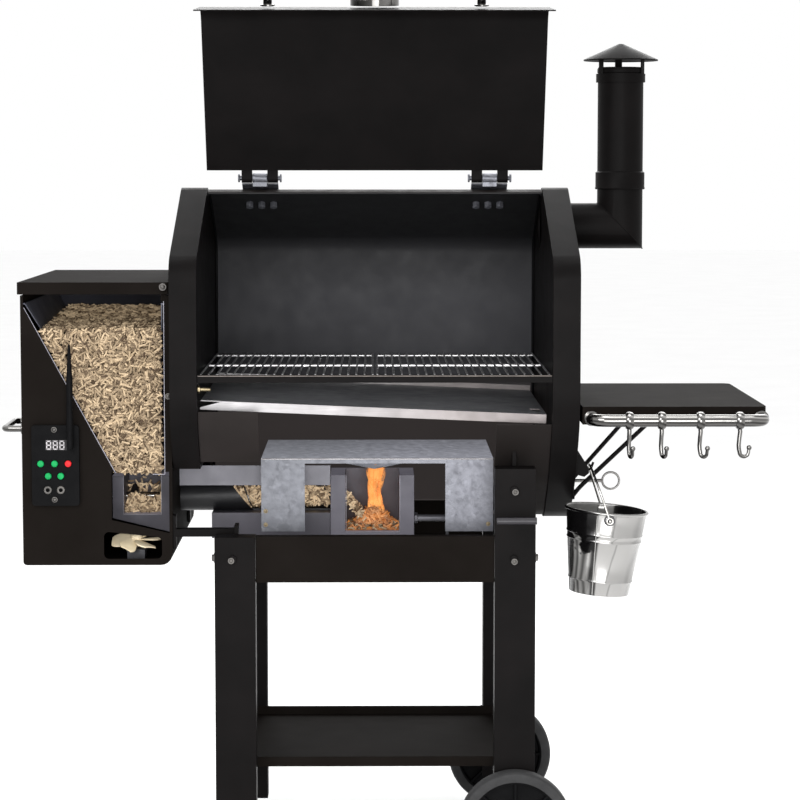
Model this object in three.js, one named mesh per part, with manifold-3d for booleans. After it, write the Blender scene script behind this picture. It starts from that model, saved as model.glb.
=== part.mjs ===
// Pellet smoker grill, built as a display cutaway: the barrel lid stands open, and windows in the
// hopper and in the lower barrel show the pellets, the auger, the burn cup and the heat baffle.
// Millimetres, +Z up, +X toward the side shelf, +Y toward the back. While the parts are drawn, X = 0
// is the middle of the barrel, Y = 0 its front wall and Z = 0 the ground. The last section moves the
// whole grill so that the origin is the bottom centre of its bounding box.
import * as THREE from 'three';
import { mergeVertices } from 'three/addons/utils/BufferGeometryUtils.js';
import Module from 'manifold-3d';

const wasm = await Module();
wasm.setup();

// ---- Driving dimensions ----
const GAP = 0.4;
const BARREL_HALF = 277;
const CAP_OUTER = 320;
const CAP_WALL = 3;
const SHEET = 2.5;
// Barrel outline seen from the side: y, z and the bend radius of every corner.
const BARREL_CORNERS = [
  [0, 978, 40], [300, 1097, 60], [500, 1000, 40], [500, 730, 120], [410, 628, 150],
  [295, 550, 90], [205, 550, 90], [90, 628, 150], [0, 730, 120],
];
const LID_PIVOT = { x: 0, y: 287, z: 1107 };
const LID_OPEN = 85;
const GRATE_Z = 800;
const FLUE = { y: 340, z: 1027, x: 411, radius: 38, wall: 2 };
const AUGER = { y: 250, z: 583, tubeRadius: 24.5, wall: 2.5 };
const HOPPER = { x0: -558, x1: -321, y0: 60, y1: 540, z0: 496, z1: 924, wall: 3 };
const FUNNEL_TOP = { x0: -553.4, x1: -335, y0: 68, y1: 500, z: 912 };
const PELLET_TOP = 870;
const PELLET_FACE = 66;
const FUNNEL_BOTTOM = { x0: -412, x1: -350, y0: 215, y1: 285, z: 646 };
const HOPPER_LID_PIVOT = { x: -333, z: 938 };
const CUP = { x0: -73, x1: 64, y0: 200, y1: 300, z0: 516, z1: 623, wall: 24, floor: 529 };
const IGNITER = { y: 215, z: 550, radius: 5.5 };
const BAFFLE = { x0: -183, x1: 190, y0: 120, y1: 405, z0: 541, z1: 659, wall: 2 };
const GATE_ROD = { y: 250, z: 607, radius: 3, ringX: 391, ringRadius: 14 };
const PANEL = { x0: -542, x1: -467, z0: 592, z1: 720, thick: 5 };
const BUTTON_RADIUS = 5.2;
const SHELF = { x0: 324, x1: 612, y0: 5, y1: 440, z: 753, lip: 28, wall: 2 };
const RAIL = { z: 735, y: -36, x0: 338, x1: 603, radius: 9.5, bend: 24 };
const HOOK_X = [393, 443, 503, 564];
const BUCKET = { x: 371, y: 110, z0: 443, z1: 580, rimRadius: 67.5, baseRadius: 48, wall: 1.2 };
const LEG_OUT = 252;
const LEG_IN = 188;
const LEG_FRONT = { y0: 10, y1: 50 };
const LEG_BACK = { y0: 440, y1: 480 };
const LEG_SEAM_Z = 475;
const WHEEL = { radius: 90, width: 38, x: 220 };

// ---- Shape helpers ----
const V = (x, y, z) => new THREE.Vector3(x, y, z);
const X_AXIS = V(1, 0, 0);
const Y_AXIS = V(0, 1, 0);

// Closed body from a three.js geometry, with its faces turned outward.
function solid(geometry) {
  const loose = geometry.index ? geometry.toNonIndexed() : geometry.clone();
  loose.deleteAttribute('normal');
  loose.deleteAttribute('uv');
  const merged = mergeVertices(loose, 1e-4);
  const index = merged.index.array;
  const faces = [];
  for (let i = 0; i < index.length; i += 3) {
    const face = [index[i], index[i + 1], index[i + 2]];
    if (new Set(face).size === 3) faces.push(face);
  }
  const build = (list) => new wasm.Manifold(new wasm.Mesh({
    numProp: 3,
    vertProperties: new Float32Array(merged.attributes.position.array),
    triVerts: new Uint32Array(list.flat()),
  }));
  const body = build(faces);
  return body.volume() < 0 ? build(faces.map(([a, b, c]) => [a, c, b])) : body;
}

function geometryOf(body) {
  const mesh = body.getMesh();
  const geometry = new THREE.BufferGeometry();
  geometry.setAttribute('position', new THREE.BufferAttribute(mesh.vertProperties, 3));
  geometry.setIndex(new THREE.BufferAttribute(mesh.triVerts, 1));
  return geometry;
}

const join = (...bodies) => bodies.reduce((whole, body) => whole.add(body));
const cut = (body, ...tools) => tools.reduce((whole, tool) => whole.subtract(tool), body);

function box(x0, x1, y0, y1, z0, z1) {
  const geometry = new THREE.BoxGeometry(x1 - x0, y1 - y0, z1 - z0);
  geometry.translate((x0 + x1) / 2, (y0 + y1) / 2, (z0 + z1) / 2);
  return solid(geometry);
}

// Round bar along one axis from `from` to `to`; `centre` gives the other two coordinates in order.
function bar(axis, from, to, centre, radius, sides = 24, endRadius = radius) {
  const geometry = new THREE.CylinderGeometry(endRadius, radius, to - from, sides);
  geometry.translate(0, (from + to) / 2, 0);
  if (axis === 'x') geometry.rotateZ(-Math.PI / 2).translate(0, centre[0], centre[1]);
  if (axis === 'y') geometry.translate(centre[0], 0, centre[1]);
  if (axis === 'z') geometry.rotateX(Math.PI / 2).translate(centre[0], centre[1], 0);
  return solid(geometry);
}

// Outline extruded along an axis. The outline is (y, z) for x, (x, z) for y and (x, y) for z.
function prism(axis, outline, from, to) {
  const shape = new THREE.Shape(outline.map(([a, b]) => new THREE.Vector2(a, b)));
  const geometry = new THREE.ExtrudeGeometry(shape, { depth: to - from, bevelEnabled: false });
  const basis = new THREE.Matrix4();
  if (axis === 'x') basis.makeBasis(V(0, 1, 0), V(0, 0, 1), V(1, 0, 0)).setPosition(from, 0, 0);
  if (axis === 'y') basis.makeBasis(V(1, 0, 0), V(0, 0, 1), V(0, -1, 0)).setPosition(0, to, 0);
  if (axis === 'z') basis.setPosition(0, 0, from);
  return solid(geometry.applyMatrix4(basis));
}

// Outline with each corner [a, b, radius] rounded by an arc of a few short steps.
function rounded(corners, step = 0.35) {
  const points = [];
  corners.forEach(([a, b, radius = 0], i) => {
    if (radius === 0) {
      points.push([a, b]);
      return;
    }
    const here = new THREE.Vector2(a, b);
    const back = new THREE.Vector2(...corners.at(i - 1)).sub(here).normalize();
    const ahead = new THREE.Vector2(...corners[(i + 1) % corners.length]).sub(here).normalize();
    const half = Math.acos(back.dot(ahead)) / 2;
    const middle = back.clone().add(ahead).normalize();
    const centre = here.clone().addScaledVector(middle, radius / Math.sin(half));
    const start = here.clone().addScaledVector(back, radius / Math.tan(half)).sub(centre);
    const end = here.clone().addScaledVector(ahead, radius / Math.tan(half)).sub(centre);
    const sweep = Math.atan2(start.cross(end), start.dot(end));
    const count = Math.max(1, Math.ceil(Math.abs(sweep) / step));
    for (let k = 0; k <= count; k += 1) {
      const turn = start.clone().rotateAround(new THREE.Vector2(), (sweep * k) / count);
      points.push([centre.x + turn.x, centre.y + turn.y]);
    }
  });
  return points;
}

// The same outline moved inward by a distance, with mitred corners.
function inset(outline, distance) {
  const points = outline.map(([a, b]) => new THREE.Vector2(a, b));
  const side = Math.sign(THREE.ShapeUtils.area(points));
  return points.map((point, i) => {
    const before = point.clone().sub(points.at(i - 1)).normalize();
    const after = points[(i + 1) % points.length].clone().sub(point).normalize();
    const first = new THREE.Vector2(-before.y, before.x).multiplyScalar(side);
    const second = new THREE.Vector2(-after.y, after.x).multiplyScalar(side);
    const scale = distance / (1 + first.dot(second));
    const moved = point.clone().addScaledVector(first.clone().add(second), scale);
    return [moved.x, moved.y];
  });
}

// Body of revolution about a vertical axis through (x, y); the profile is [radius, z].
function turned(profile, x, y, sides = 32) {
  const points = profile.map(([radius, z]) => new THREE.Vector2(radius, z));
  const geometry = new THREE.LatheGeometry(points, sides);
  return solid(geometry.rotateX(Math.PI / 2).translate(x, y, 0));
}

// Route with each inner corner bent to a smooth curve.
function bent(corners, radius, steps = 5) {
  const route = [corners[0]];
  for (let i = 1; i < corners.length - 1; i += 1) {
    const back = corners[i - 1].clone().sub(corners[i]).normalize();
    const ahead = corners[i + 1].clone().sub(corners[i]).normalize();
    const start = corners[i].clone().addScaledVector(back, radius);
    const end = corners[i].clone().addScaledVector(ahead, radius);
    const curve = new THREE.QuadraticBezierCurve3(start, corners[i], end);
    route.push(...curve.getPoints(steps));
  }
  route.push(corners.at(-1));
  return route;
}

// Round rod along a route of points; the radius may taper from one end to the other.
function rod(route, radius, sides = 10, endRadius = radius) {
  const positions = [];
  const index = [];
  const last = route.length - 1;
  let normal = V(0.31, 0.52, 0.79);
  route.forEach((point, i) => {
    const ahead = route[Math.min(i + 1, last)];
    const tangent = ahead.clone().sub(route[Math.max(i - 1, 0)]).normalize();
    normal = normal.clone().addScaledVector(tangent, -normal.dot(tangent)).normalize();
    const binormal = tangent.clone().cross(normal);
    const size = radius + ((endRadius - radius) * i) / last;
    for (let k = 0; k < sides; k += 1) {
      const angle = (k / sides) * Math.PI * 2;
      const rim = point.clone().addScaledVector(normal, size * Math.cos(angle));
      rim.addScaledVector(binormal, size * Math.sin(angle));
      positions.push(...rim.toArray());
      const next = (k + 1) % sides;
      if (i < last) {
        const [a, b] = [i * sides + k, i * sides + next];
        index.push(a, b, b + sides, a, b + sides, a + sides);
      }
      if (i === 0 && k > 1) index.push(0, k, k - 1);
      if (i === last && k > 1) index.push(i * sides, i * sides + k - 1, i * sides + k);
    }
  });
  const geometry = new THREE.BufferGeometry();
  geometry.setAttribute('position', new THREE.Float32BufferAttribute(positions, 3));
  geometry.setIndex(index);
  return solid(geometry);
}

// Four-sided body between two level rectangles.
function hopperBlock(low, high) {
  const corner = ({ x0, x1, y0, y1, z }) => [V(x0, y0, z), V(x1, y0, z), V(x1, y1, z), V(x0, y1, z)];
  const points = [...corner(low), ...corner(high)];
  const geometry = new THREE.BufferGeometry().setFromPoints(points);
  const faces = [0, 2, 1, 0, 3, 2, 4, 5, 6, 4, 6, 7];
  for (let k = 0; k < 4; k += 1) {
    const next = (k + 1) % 4;
    faces.push(k, next, next + 4, k, next + 4, k + 4);
  }
  geometry.setIndex(faces);
  return solid(geometry);
}

// Turn a body about a line through `pivot`, in degrees.
function turnAbout(axis, body, degrees, pivot) {
  const turn = new THREE.Matrix4().makeRotationAxis(axis, THREE.MathUtils.degToRad(degrees));
  const geometry = geometryOf(body).translate(-pivot.x, -pivot.y, -pivot.z).applyMatrix4(turn);
  return solid(geometry.translate(pivot.x, pivot.y, pivot.z));
}

// ---- Finishes and the list of parts ----
const FINISH = {
  black: [0x241f1e, 0.42, 0.3],
  blackPanel: [0x2d2927, 0.5, 0.3],
  darkSteel: [0x35353a, 0.5, 0.5],
  cutSteel: [0x4b4850, 0.45, 0.4],
  galvanised: [0x8e8f96, 0.35, 0.85],
  stainless: [0xcdcac5, 0.22, 1.0],
  bright: [0xd0cdcf, 0.25, 1.0],
  chrome: [0xd8d8da, 0.08, 1.0],
  brass: [0xb08d4a, 0.3, 0.9],
  pellets: [0xa9957c, 0.9, 0.0],
  embers: [0x9a4a20, 0.9, 0.0],
  green: [0x19a05a, 0.4, 0.0],
  red: [0xc8202a, 0.4, 0.0],
  plastic: [0x1a1a1a, 0.6, 0.0],
  rotor: [0xd8c49a, 0.7, 0.0],
  rubber: [0x1c1c1c, 0.9, 0.0],
};
const group = new THREE.Group();

function add(name, body, finish) {
  const [color, roughness, metalness] = FINISH[finish];
  const material = new THREE.MeshStandardMaterial({ color, roughness, metalness });
  const mesh = new THREE.Mesh(geometryOf(body), material);
  mesh.name = name;
  group.add(mesh);
}

// ---- Barrel: two hollow end caps, the sheet between them and the front rail ----
const barrelOutline = rounded(BARREL_CORNERS);
const skinOutline = inset(barrelOutline, CAP_WALL);
const skinSolid = prism('x', inset(barrelOutline, CAP_WALL - GAP), -CAP_OUTER, CAP_OUTER);
const HINGE_X = 190;
const HINGE_BOLT_Y = 360;
const ROOF_PIVOT = { x: 0, y: 300, z: 1097 };
const ROOF_SLOPE = -THREE.MathUtils.radToDeg(Math.atan2(97, 200));

function sheetRing(outside, inside, halfWidth) {
  const outer = prism('x', inset(barrelOutline, outside), -halfWidth, halfWidth);
  const inner = prism('x', inset(barrelOutline, inside), -halfWidth - 1, halfWidth + 1);
  return outer.subtract(inner);
}

function endCap(x0, x1) {
  const outer = prism('x', barrelOutline, x0, x1);
  const hollow = prism('x', skinOutline, x0 + CAP_WALL, x1 - CAP_WALL);
  return outer.subtract(hollow);
}

function endCapLeft() {
  const augerNotch = box(-CAP_OUTER - 1, -BARREL_HALF + 1, -10, 312, 500, 648);
  return cut(endCap(-CAP_OUTER, -BARREL_HALF), augerNotch);
}

function endCapRight() {
  const flueHole = bar('x', 270, 330, [FLUE.y, FLUE.z], FLUE.radius + GAP, 20);
  const rodHole = bar('x', 270, 330, [GATE_ROD.y, GATE_ROD.z], GATE_ROD.radius + 2, 8);
  return cut(endCap(BARREL_HALF, CAP_OUTER), flueHole, rodHole);
}

// Three bolts on the rear roof slope at one hinge; the same shape makes the bolts and their holes.
function roofBolts(x, radius, from, to, sides) {
  const bolts = [-20, 0, 20].map((step) => (
    bar('z', from, to, [x + step, HINGE_BOLT_Y], radius, sides)
  ));
  return turnAbout(X_AXIS, join(...bolts), ROOF_SLOPE, ROOF_PIVOT);
}

function barrelShell() {
  const half = BARREL_HALF - GAP;
  const windows = [
    box(-300, 300, -50, 274, 724, 1200),
    box(-300, HINGE_X, -50, 200, 500, 724),
    box(-300, 196, 190, 312, 500, 660),
  ];
  const holes = [-HINGE_X, HINGE_X].map((x) => roofBolts(x, 4.3, 1080, 1105, 6));
  return cut(sheetRing(CAP_WALL, CAP_WALL + SHEET, half), ...windows, ...holes);
}

function frontSkinLeft() {
  const half = BARREL_HALF - GAP;
  return sheetRing(CAP_WALL, CAP_WALL + SHEET, half).intersect(box(-half, -182, -50, 200, 660, 745));
}

function frontRail() {
  const half = BARREL_HALF - GAP;
  const ledge = box(-half, half, 3, 20, 799, 802);
  return join(ledge, box(-half, half, 3, 5.5, 791, 801));
}

function temperatureProbe() {
  const start = -BARREL_HALF + GAP;
  return join(bar('x', start, start + 4, [14, 780], 6.5, 6), bar('x', start, start + 20, [14, 780], 3.2, 12));
}

// Barrel half of one lid hinge: a plate bolted to the roof, a knuckle and the pin.
function lidHinge(x) {
  const plate = box(x - 30, x + 30, 297, 384, ROOF_PIVOT.z - 2.6, ROOF_PIVOT.z + 0.4);
  const slab = turnAbout(X_AXIS, plate, ROOF_SLOPE, ROOF_PIVOT);
  const web = box(x - 12, x + 12, LID_PIVOT.y - 4, 304, 1093, LID_PIVOT.z - 2);
  const knuckle = bar('x', x - 12, x + 12, [LID_PIVOT.y, LID_PIVOT.z], 8, 12);
  const pin = bar('x', x - 36, x + 36, [LID_PIVOT.y, LID_PIVOT.z], 4, 12);
  const heads = [-36, 33].map((at) => bar('x', x + at, x + at + 3, [LID_PIVOT.y, LID_PIVOT.z], 7, 8));
  const shanks = roofBolts(x, 3.6, 1082, 1100, 6);
  const nuts = roofBolts(x, 6.5, 1082, 1091, 6);
  const tops = roofBolts(x, 7, 1096, 1101, 6);
  return join(slab, web, knuckle, pin, ...heads, shanks, nuts, tops);
}

for (const [name, body, finish] of [
  ['end_cap_left', endCapLeft(), 'black'],
  ['end_cap_right', endCapRight(), 'black'],
  ['barrel_shell', barrelShell(), 'darkSteel'],
  ['front_skin_left', frontSkinLeft(), 'black'],
  ['front_rail', frontRail(), 'bright'],
  ['temperature_probe', temperatureProbe(), 'brass'],
  ['lid_hinge_left', lidHinge(-HINGE_X), 'galvanised'],
  ['lid_hinge_right', lidHinge(HINGE_X), 'galvanised'],
]) add(name, body, finish);

// ---- Lid, drawn closed and then swung open about the hinge pins ----
const HANDLE = { y: -48, z: 862, half: 200, post: 165, radius: 11 };
const DIAL = { z: 900, radius: 38 };
const LID_HALF = 276;

function lidShell() {
  const sheet = sheetRing(CAP_WALL, CAP_WALL + 2, LID_HALF)
    .intersect(box(-LID_HALF, LID_HALF, -50, 272, 806, 1200));
  const leaves = [-HINGE_X, HINGE_X].map((x) => {
    const band = sheetRing(0, CAP_WALL + 1, LID_HALF).intersect(box(x - 30, x + 30, 225, 271, 1000, 1200));
    const arms = box(x - 30, x + 30, 250, LID_PIVOT.y, 1066, LID_PIVOT.z + 4);
    const trimmed = cut(arms, skinSolid, box(x - 31, x + 31, 272, 300, 1000, 1099));
    const knuckle = bar('x', x - 30, x + 30, [LID_PIVOT.y, LID_PIVOT.z], 8, 12);
    const hole = bar('x', x - 31, x + 31, [LID_PIVOT.y, LID_PIVOT.z], 4 + GAP, 12);
    const middle = box(x - 12.6, x + 12.6, 245, 300, 1050, 1120);
    return join(band, cut(join(trimmed, knuckle), hole, middle));
  });
  const dialHole = bar('y', -5, 12, [0, DIAL.z], 4.5, 16);
  return cut(join(sheet, ...leaves), dialHole);
}

function lidHandle() {
  const grip = bar('x', -HANDLE.half, HANDLE.half, [HANDLE.y, HANDLE.z], HANDLE.radius, 16);
  const posts = [-HANDLE.post, HANDLE.post].map((x) => join(
    bar('y', HANDLE.y, CAP_WALL - GAP, [x, HANDLE.z], 7, 12),
    bar('y', -3, CAP_WALL - GAP, [x, HANDLE.z], 15, 12),
  ));
  return join(grip, ...posts);
}

function lidThermometer() {
  const dial = bar('y', -16, CAP_WALL - GAP, [0, DIAL.z], DIAL.radius, 24);
  const recess = bar('y', -17, -13, [0, DIAL.z], DIAL.radius - 4, 24);
  return join(cut(dial, recess), bar('y', 0, 70, [0, DIAL.z], 3, 8));
}

const swungOpen = (body) => turnAbout(X_AXIS, body, -LID_OPEN, LID_PIVOT);
add('lid_shell', swungOpen(lidShell()), 'black');
add('lid_handle', swungOpen(lidHandle()), 'stainless');
add('lid_thermometer', swungOpen(lidThermometer()), 'stainless');

// ---- Chimney: mitred elbow out of the right end cap, stack and rain cap ----
const FLUE_TOP = 1290;
const FLUE_JOINT = 1110;

function elbowPipe(radius, from, to) {
  const mitre = prism('y', [[FLUE.x - 300, FLUE.z - 300], [FLUE.x + 300, FLUE.z - 300],
    [FLUE.x - 300, FLUE.z + 300]], 200, 500);
  const level = bar('x', from, FLUE.x + 80, [FLUE.y, FLUE.z], radius, 20).intersect(mitre);
  return level.add(bar('z', FLUE.z - 80, to, [FLUE.x, FLUE.y], radius, 20).subtract(mitre));
}

function chimneyElbow() {
  const flange = bar('x', CAP_OUTER + GAP, CAP_OUTER + 4, [FLUE.y, FLUE.z], FLUE.radius + 12, 20);
  const outer = elbowPipe(FLUE.radius, 270, FLUE_JOINT);
  return join(outer, flange).subtract(elbowPipe(FLUE.radius - FLUE.wall, 260, FLUE_JOINT + 5));
}

function chimneyStack() {
  const at = [FLUE.x, FLUE.y];
  const pipe = bar('z', FLUE_JOINT + GAP, FLUE_TOP, at, FLUE.radius, 20);
  const collar = bar('z', FLUE_JOINT - 22, FLUE_JOINT + 8, at, FLUE.radius + 3, 20);
  const socket = bar('z', FLUE_JOINT - 23, FLUE_JOINT + GAP, at, FLUE.radius + GAP, 20);
  const bore = bar('z', FLUE_JOINT - 23, FLUE_TOP + 1, at, FLUE.radius - FLUE.wall, 20);
  return cut(join(pipe, collar), socket, bore);
}

function chimneyCap() {
  const cone = turned([[0, 1323], [60, 1302], [62, 1304], [0, 1330]], FLUE.x, FLUE.y, 20);
  const ring = turned([[38.4, 1266], [41, 1266], [41, 1280], [38.4, 1280], [38.4, 1266]], FLUE.x, FLUE.y, 20);
  const straps = [0, 1, 2].map((k) => {
    const angle = (k * 2 * Math.PI) / 3 + Math.PI / 2;
    const geometry = new THREE.BoxGeometry(2.4, 12, 40).translate(39.8, 0, 1292).rotateZ(angle);
    return solid(geometry.translate(FLUE.x, FLUE.y, 0));
  });
  return join(cone, ring, ...straps);
}

add('chimney_elbow', chimneyElbow(), 'black');
add('chimney_stack', chimneyStack(), 'black');
add('chimney_cap', chimneyCap(), 'black');

// ---- Hopper: case with cutaway windows, funnel, pellets and lid ----
// Level cross-section of the funnel at a height, drawn in by a margin on every side.
function funnelLevel(z, margin) {
  const share = (z - FUNNEL_BOTTOM.z) / (FUNNEL_TOP.z - FUNNEL_BOTTOM.z);
  const at = (key) => FUNNEL_BOTTOM[key] + (FUNNEL_TOP[key] - FUNNEL_BOTTOM[key]) * share;
  return { x0: at('x0') + margin, x1: at('x1') - margin, y0: at('y0') + margin, y1: at('y1') - margin, z };
}

const FEED_BOX = [[-430, 552], [-336, 529], [-336, 622], [-430, 622]];
const FAN = { x: -383, y: 112, z: 530, tilt: 15, radius: 40 };
const LID_PIN = [HOPPER_LID_PIVOT.x, HOPPER_LID_PIVOT.z];

function hopperCase() {
  const { x0, x1, y0, y1, z0, z1, wall } = HOPPER;
  const outline = rounded([[x0, z0, 6], [x1, z0, 19], [x1, z1], [x0, z1]]);
  const hollow = rounded([[x0 + wall, z0 + wall, 3], [x1 - wall, z0 + wall, 16],
    [x1 - wall, z1 + 9], [x0 + wall, z1 + 9]]);
  const shell = prism('y', outline, y0, y1).subtract(prism('y', hollow, y0 + wall, y1 - wall));
  const pelletWindow = [[-553.5, 925], [-332, 925], [-332, 640], [-410, 640], [-553.5, 906]];
  const feedWindow = [[-417, 568], [-326, 547], [-326, 645], [-417, 645]];
  const fanWindow = rounded([[-430, 506, 8], [-338, 506, 8], [-338, 540, 8], [-430, 550, 8]]);
  const windows = [pelletWindow, feedWindow, fanWindow].map((hole) => prism('y', hole, y0 - 1, y0 + 9));
  const tubeHole = bar('x', x1 - 9, x1 + 1, [AUGER.y, AUGER.z], AUGER.tubeRadius + GAP, 20);
  const vents = [0, 1, 2].map((k) => box(-545, -482, y1 - 9, y1 + 1, 540 + k * 22, 548 + k * 22));
  const ears = [[y0, y0 + wall], [y1 - wall, y1]].map(([from, to]) => join(
    box(LID_PIN[0] - 4, LID_PIN[0] + 4, from, to, z1 - 9, LID_PIN[1]),
    bar('y', from, to, LID_PIN, 4.6, 12),
  ));
  const pins = [
    join(bar('y', y0 - 7, y0 + 1, LID_PIN, 2.6, 10), bar('y', y0 - 9, y0 - 6, LID_PIN, 5, 6)),
    join(bar('y', y1 - 1, y1 + 7, LID_PIN, 2.6, 10), bar('y', y1 + 6, y1 + 9, LID_PIN, 5, 6)),
  ];
  return join(cut(shell, ...windows, tubeHole, ...vents), ...ears, ...pins);
}

function hopperFunnel() {
  const wall = 2.2;
  const outer = hopperBlock(funnelLevel(FUNNEL_BOTTOM.z, 0), funnelLevel(FUNNEL_TOP.z, 0));
  const inner = hopperBlock(funnelLevel(FUNNEL_BOTTOM.z - 2, wall), funnelLevel(FUNNEL_TOP.z + 4, wall));
  const low = { ...funnelLevel(FUNNEL_BOTTOM.z - 2, wall), y0: -100, y1: 250 };
  const high = { ...funnelLevel(FUNNEL_TOP.z + 4, wall), y0: -100, y1: 284 };
  const { x0, x1, y0, y1, wall: side } = HOPPER;
  const reach = side + GAP;
  const deck = box(x0 + reach, x1 - reach, y0 + reach, y1 - reach, FUNNEL_TOP.z - 2, FUNNEL_TOP.z);
  return cut(join(outer, deck), inner, hopperBlock(low, high));
}

// The fill stands cut off flat just behind the window, a little wider there than the funnel's mouth.
function pelletLoad() {
  const [low, high] = [FUNNEL_BOTTOM.z + 2, PELLET_TOP].map((z) => ({ ...funnelLevel(z, 2.8), y0: PELLET_FACE }));
  const face = prism('y', [[low.x0, low.z], [-337.5, low.z], [-337.5, high.z], [high.x0, high.z]],
    PELLET_FACE, PELLET_FACE + 20);
  return join(hopperBlock(low, high), face);
}

function hopperLid() {
  const [x0, x1, y0, y1] = [HOPPER.x0 - 4, HOPPER.x1 - 4.4, HOPPER.y0 - 5, HOPPER.y1 + 5];
  const pan = box(x0, x1, y0, y1, 926, 945).subtract(box(x0 + 2, x1 - 2, y0 + 2, y1 - 2, 925, 943));
  const slots = [HOPPER.y0 - 2, HOPPER.y1 - 6].map((y) => box(-345, x1 + 1, y, y + 8, 925, 943));
  const pinHole = bar('y', y0 - 1, y1 + 1, LID_PIN, 2.6 + GAP, 10);
  return cut(pan, ...slots, pinHole);
}

function sideHandle() {
  const face = HOPPER.x0 - GAP;
  const [near, far, z] = [80, 202, 712];
  const route = [V(face, near, z), V(face - 30, near, z), V(face - 30, far, z), V(face, far, z)];
  const plates = [near, far].map((y) => bar('x', face - 4, face, [y, z], 11, 12));
  return join(rod(bent(route, 12, 3), 5, 8), ...plates);
}

add('hopper_case', hopperCase(), 'blackPanel');
add('hopper_funnel', hopperFunnel(), 'darkSteel');
add('pellet_load', pelletLoad(), 'pellets');
add('hopper_lid', hopperLid(), 'blackPanel');
add('side_handle', sideHandle(), 'chrome');

// ---- Pellet feed: feed box, auger in its tube, gear motor and combustion fan ----
const AUGER_START = -446;
const AUGER_END = -80;
const FLIGHT = { pitch: 44, radius: 20.5, thick: 2.4, from: -408 };
const AUGER_AT = [AUGER.y, AUGER.z];

function feedBox() {
  const chamber = box(-412, -350, CUP.y0 - 1, CUP.y1 - 3, 558, 640);
  const shaftHole = bar('x', -440, -400, AUGER_AT, 6 + GAP, 10);
  const outlet = bar('x', -360, -330, AUGER_AT, AUGER.tubeRadius - AUGER.wall, 20);
  return cut(prism('y', FEED_BOX, CUP.y0, CUP.y1), chamber, shaftHole, outlet);
}

// Auger tube between the feed box and the burn cup, cut open at its front, with the two rails
// that carry it.
function augerTube() {
  const [start, end] = [-336 + GAP, CUP.x0 - GAP];
  const railStart = -CAP_OUTER - GAP;
  const tube = bar('x', start, end, AUGER_AT, AUGER.tubeRadius, 20);
  const bore = bar('x', start - 1, end + 1, AUGER_AT, AUGER.tubeRadius - AUGER.wall, 20);
  const opening = prism('y', [[-247, 615], [end + 1, 615], [end + 1, 550], [-193, 550]], 190, 243);
  const upper = join(
    box(railStart, end, 205, 208, 611, 638),
    box(railStart, end, 205, 256, 605.5, 612),
  );
  const lower = join(
    box(-268, end, 205, 208, 518, 560),
    box(-268, end, 205, 256, 555, 559.5),
  );
  return join(cut(tube, opening), upper, lower).subtract(bore);
}

// Screw flight: a thin band wound around the shaft.
function flight(from, to) {
  const turns = (to - from) / FLIGHT.pitch;
  const steps = Math.round(turns * 9);
  const positions = [];
  const index = [];
  for (let i = 0; i <= steps; i += 1) {
    const angle = (i / steps) * turns * Math.PI * 2;
    const x = from + ((to - from) * i) / steps;
    for (const [radius, side] of [[4, -1], [FLIGHT.radius, -1], [FLIGHT.radius, 1], [4, 1]]) {
      positions.push(x + (side * FLIGHT.thick) / 2, radius * Math.cos(angle), radius * Math.sin(angle));
    }
    for (let k = 0; k < 4 && i < steps; k += 1) {
      const [a, b] = [i * 4 + k, i * 4 + ((k + 1) % 4)];
      index.push(a, b, b + 4, a, b + 4, a + 4);
    }
  }
  const last = steps * 4;
  index.push(0, 2, 1, 0, 3, 2, last, last + 1, last + 2, last, last + 2, last + 3);
  const geometry = new THREE.BufferGeometry();
  geometry.setAttribute('position', new THREE.Float32BufferAttribute(positions, 3));
  geometry.setIndex(index);
  return solid(geometry.translate(0, AUGER.y, AUGER.z));
}

function augerScrew() {
  const shaft = bar('x', AUGER_START, AUGER_END, AUGER_AT, 6, 10);
  return join(shaft, flight(FLIGHT.from, AUGER_END - 2));
}

function augerMotor() {
  const face = AUGER_START - GAP;
  const gearbox = box(face - 30, face, 218, 282, 548, 612);
  const can = bar('x', face - 92, face - 29, AUGER_AT, 26, 18);
  const boss = bar('x', face - 100, face - 90, AUGER_AT, 9, 12);
  return join(gearbox, can, boss);
}

// Combustion fan: six pitched blades on a hub whose axis leans a little toward the front.
function fanRotor() {
  const hub = bar('z', -9, 9, [0, 0], 9, 14);
  const blades = [0, 1, 2, 3, 4, 5].map((k) => {
    const outline = rounded([[4, -5], [FAN.radius - 4, -13, 8], [FAN.radius - 1, 12, 8], [4, 6]], 0.7);
    const blade = prism('z', outline, -1, 1);
    const pitched = turnAbout(X_AXIS, blade, 32, V(0, 0, 0));
    return turnAbout(V(0, 0, 1), pitched, k * 60, V(0, 0, 0));
  });
  const bore = bar('z', -10, 6, [0, 0], 2.5 + GAP, 8);
  const rotor = join(hub, ...blades).subtract(bore);
  const tilted = turnAbout(X_AXIS, rotor, FAN.tilt, V(0, 0, 0));
  return solid(geometryOf(tilted).translate(FAN.x, FAN.y, FAN.z));
}

function fanMotor() {
  const shaft = bar('z', -20, 4, [0, 0], 2.5, 8);
  const can = bar('z', -19, -12, [0, 0], 17, 18);
  const tilted = turnAbout(X_AXIS, join(shaft, can), FAN.tilt, V(0, 0, 0));
  const foot = box(FAN.x - 14, FAN.x + 14, FAN.y - 12, FAN.y + 30, HOPPER.z0 + HOPPER.wall + GAP, FAN.z - 14);
  const placed = solid(geometryOf(tilted).translate(FAN.x, FAN.y, FAN.z));
  const sweep = turnAbout(X_AXIS, bar('z', -11.6, 40, [0, 0], 60, 24), FAN.tilt, V(0, 0, 0));
  const clear = solid(geometryOf(sweep).translate(FAN.x, FAN.y, FAN.z));
  return join(placed, foot.subtract(clear));
}

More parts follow.
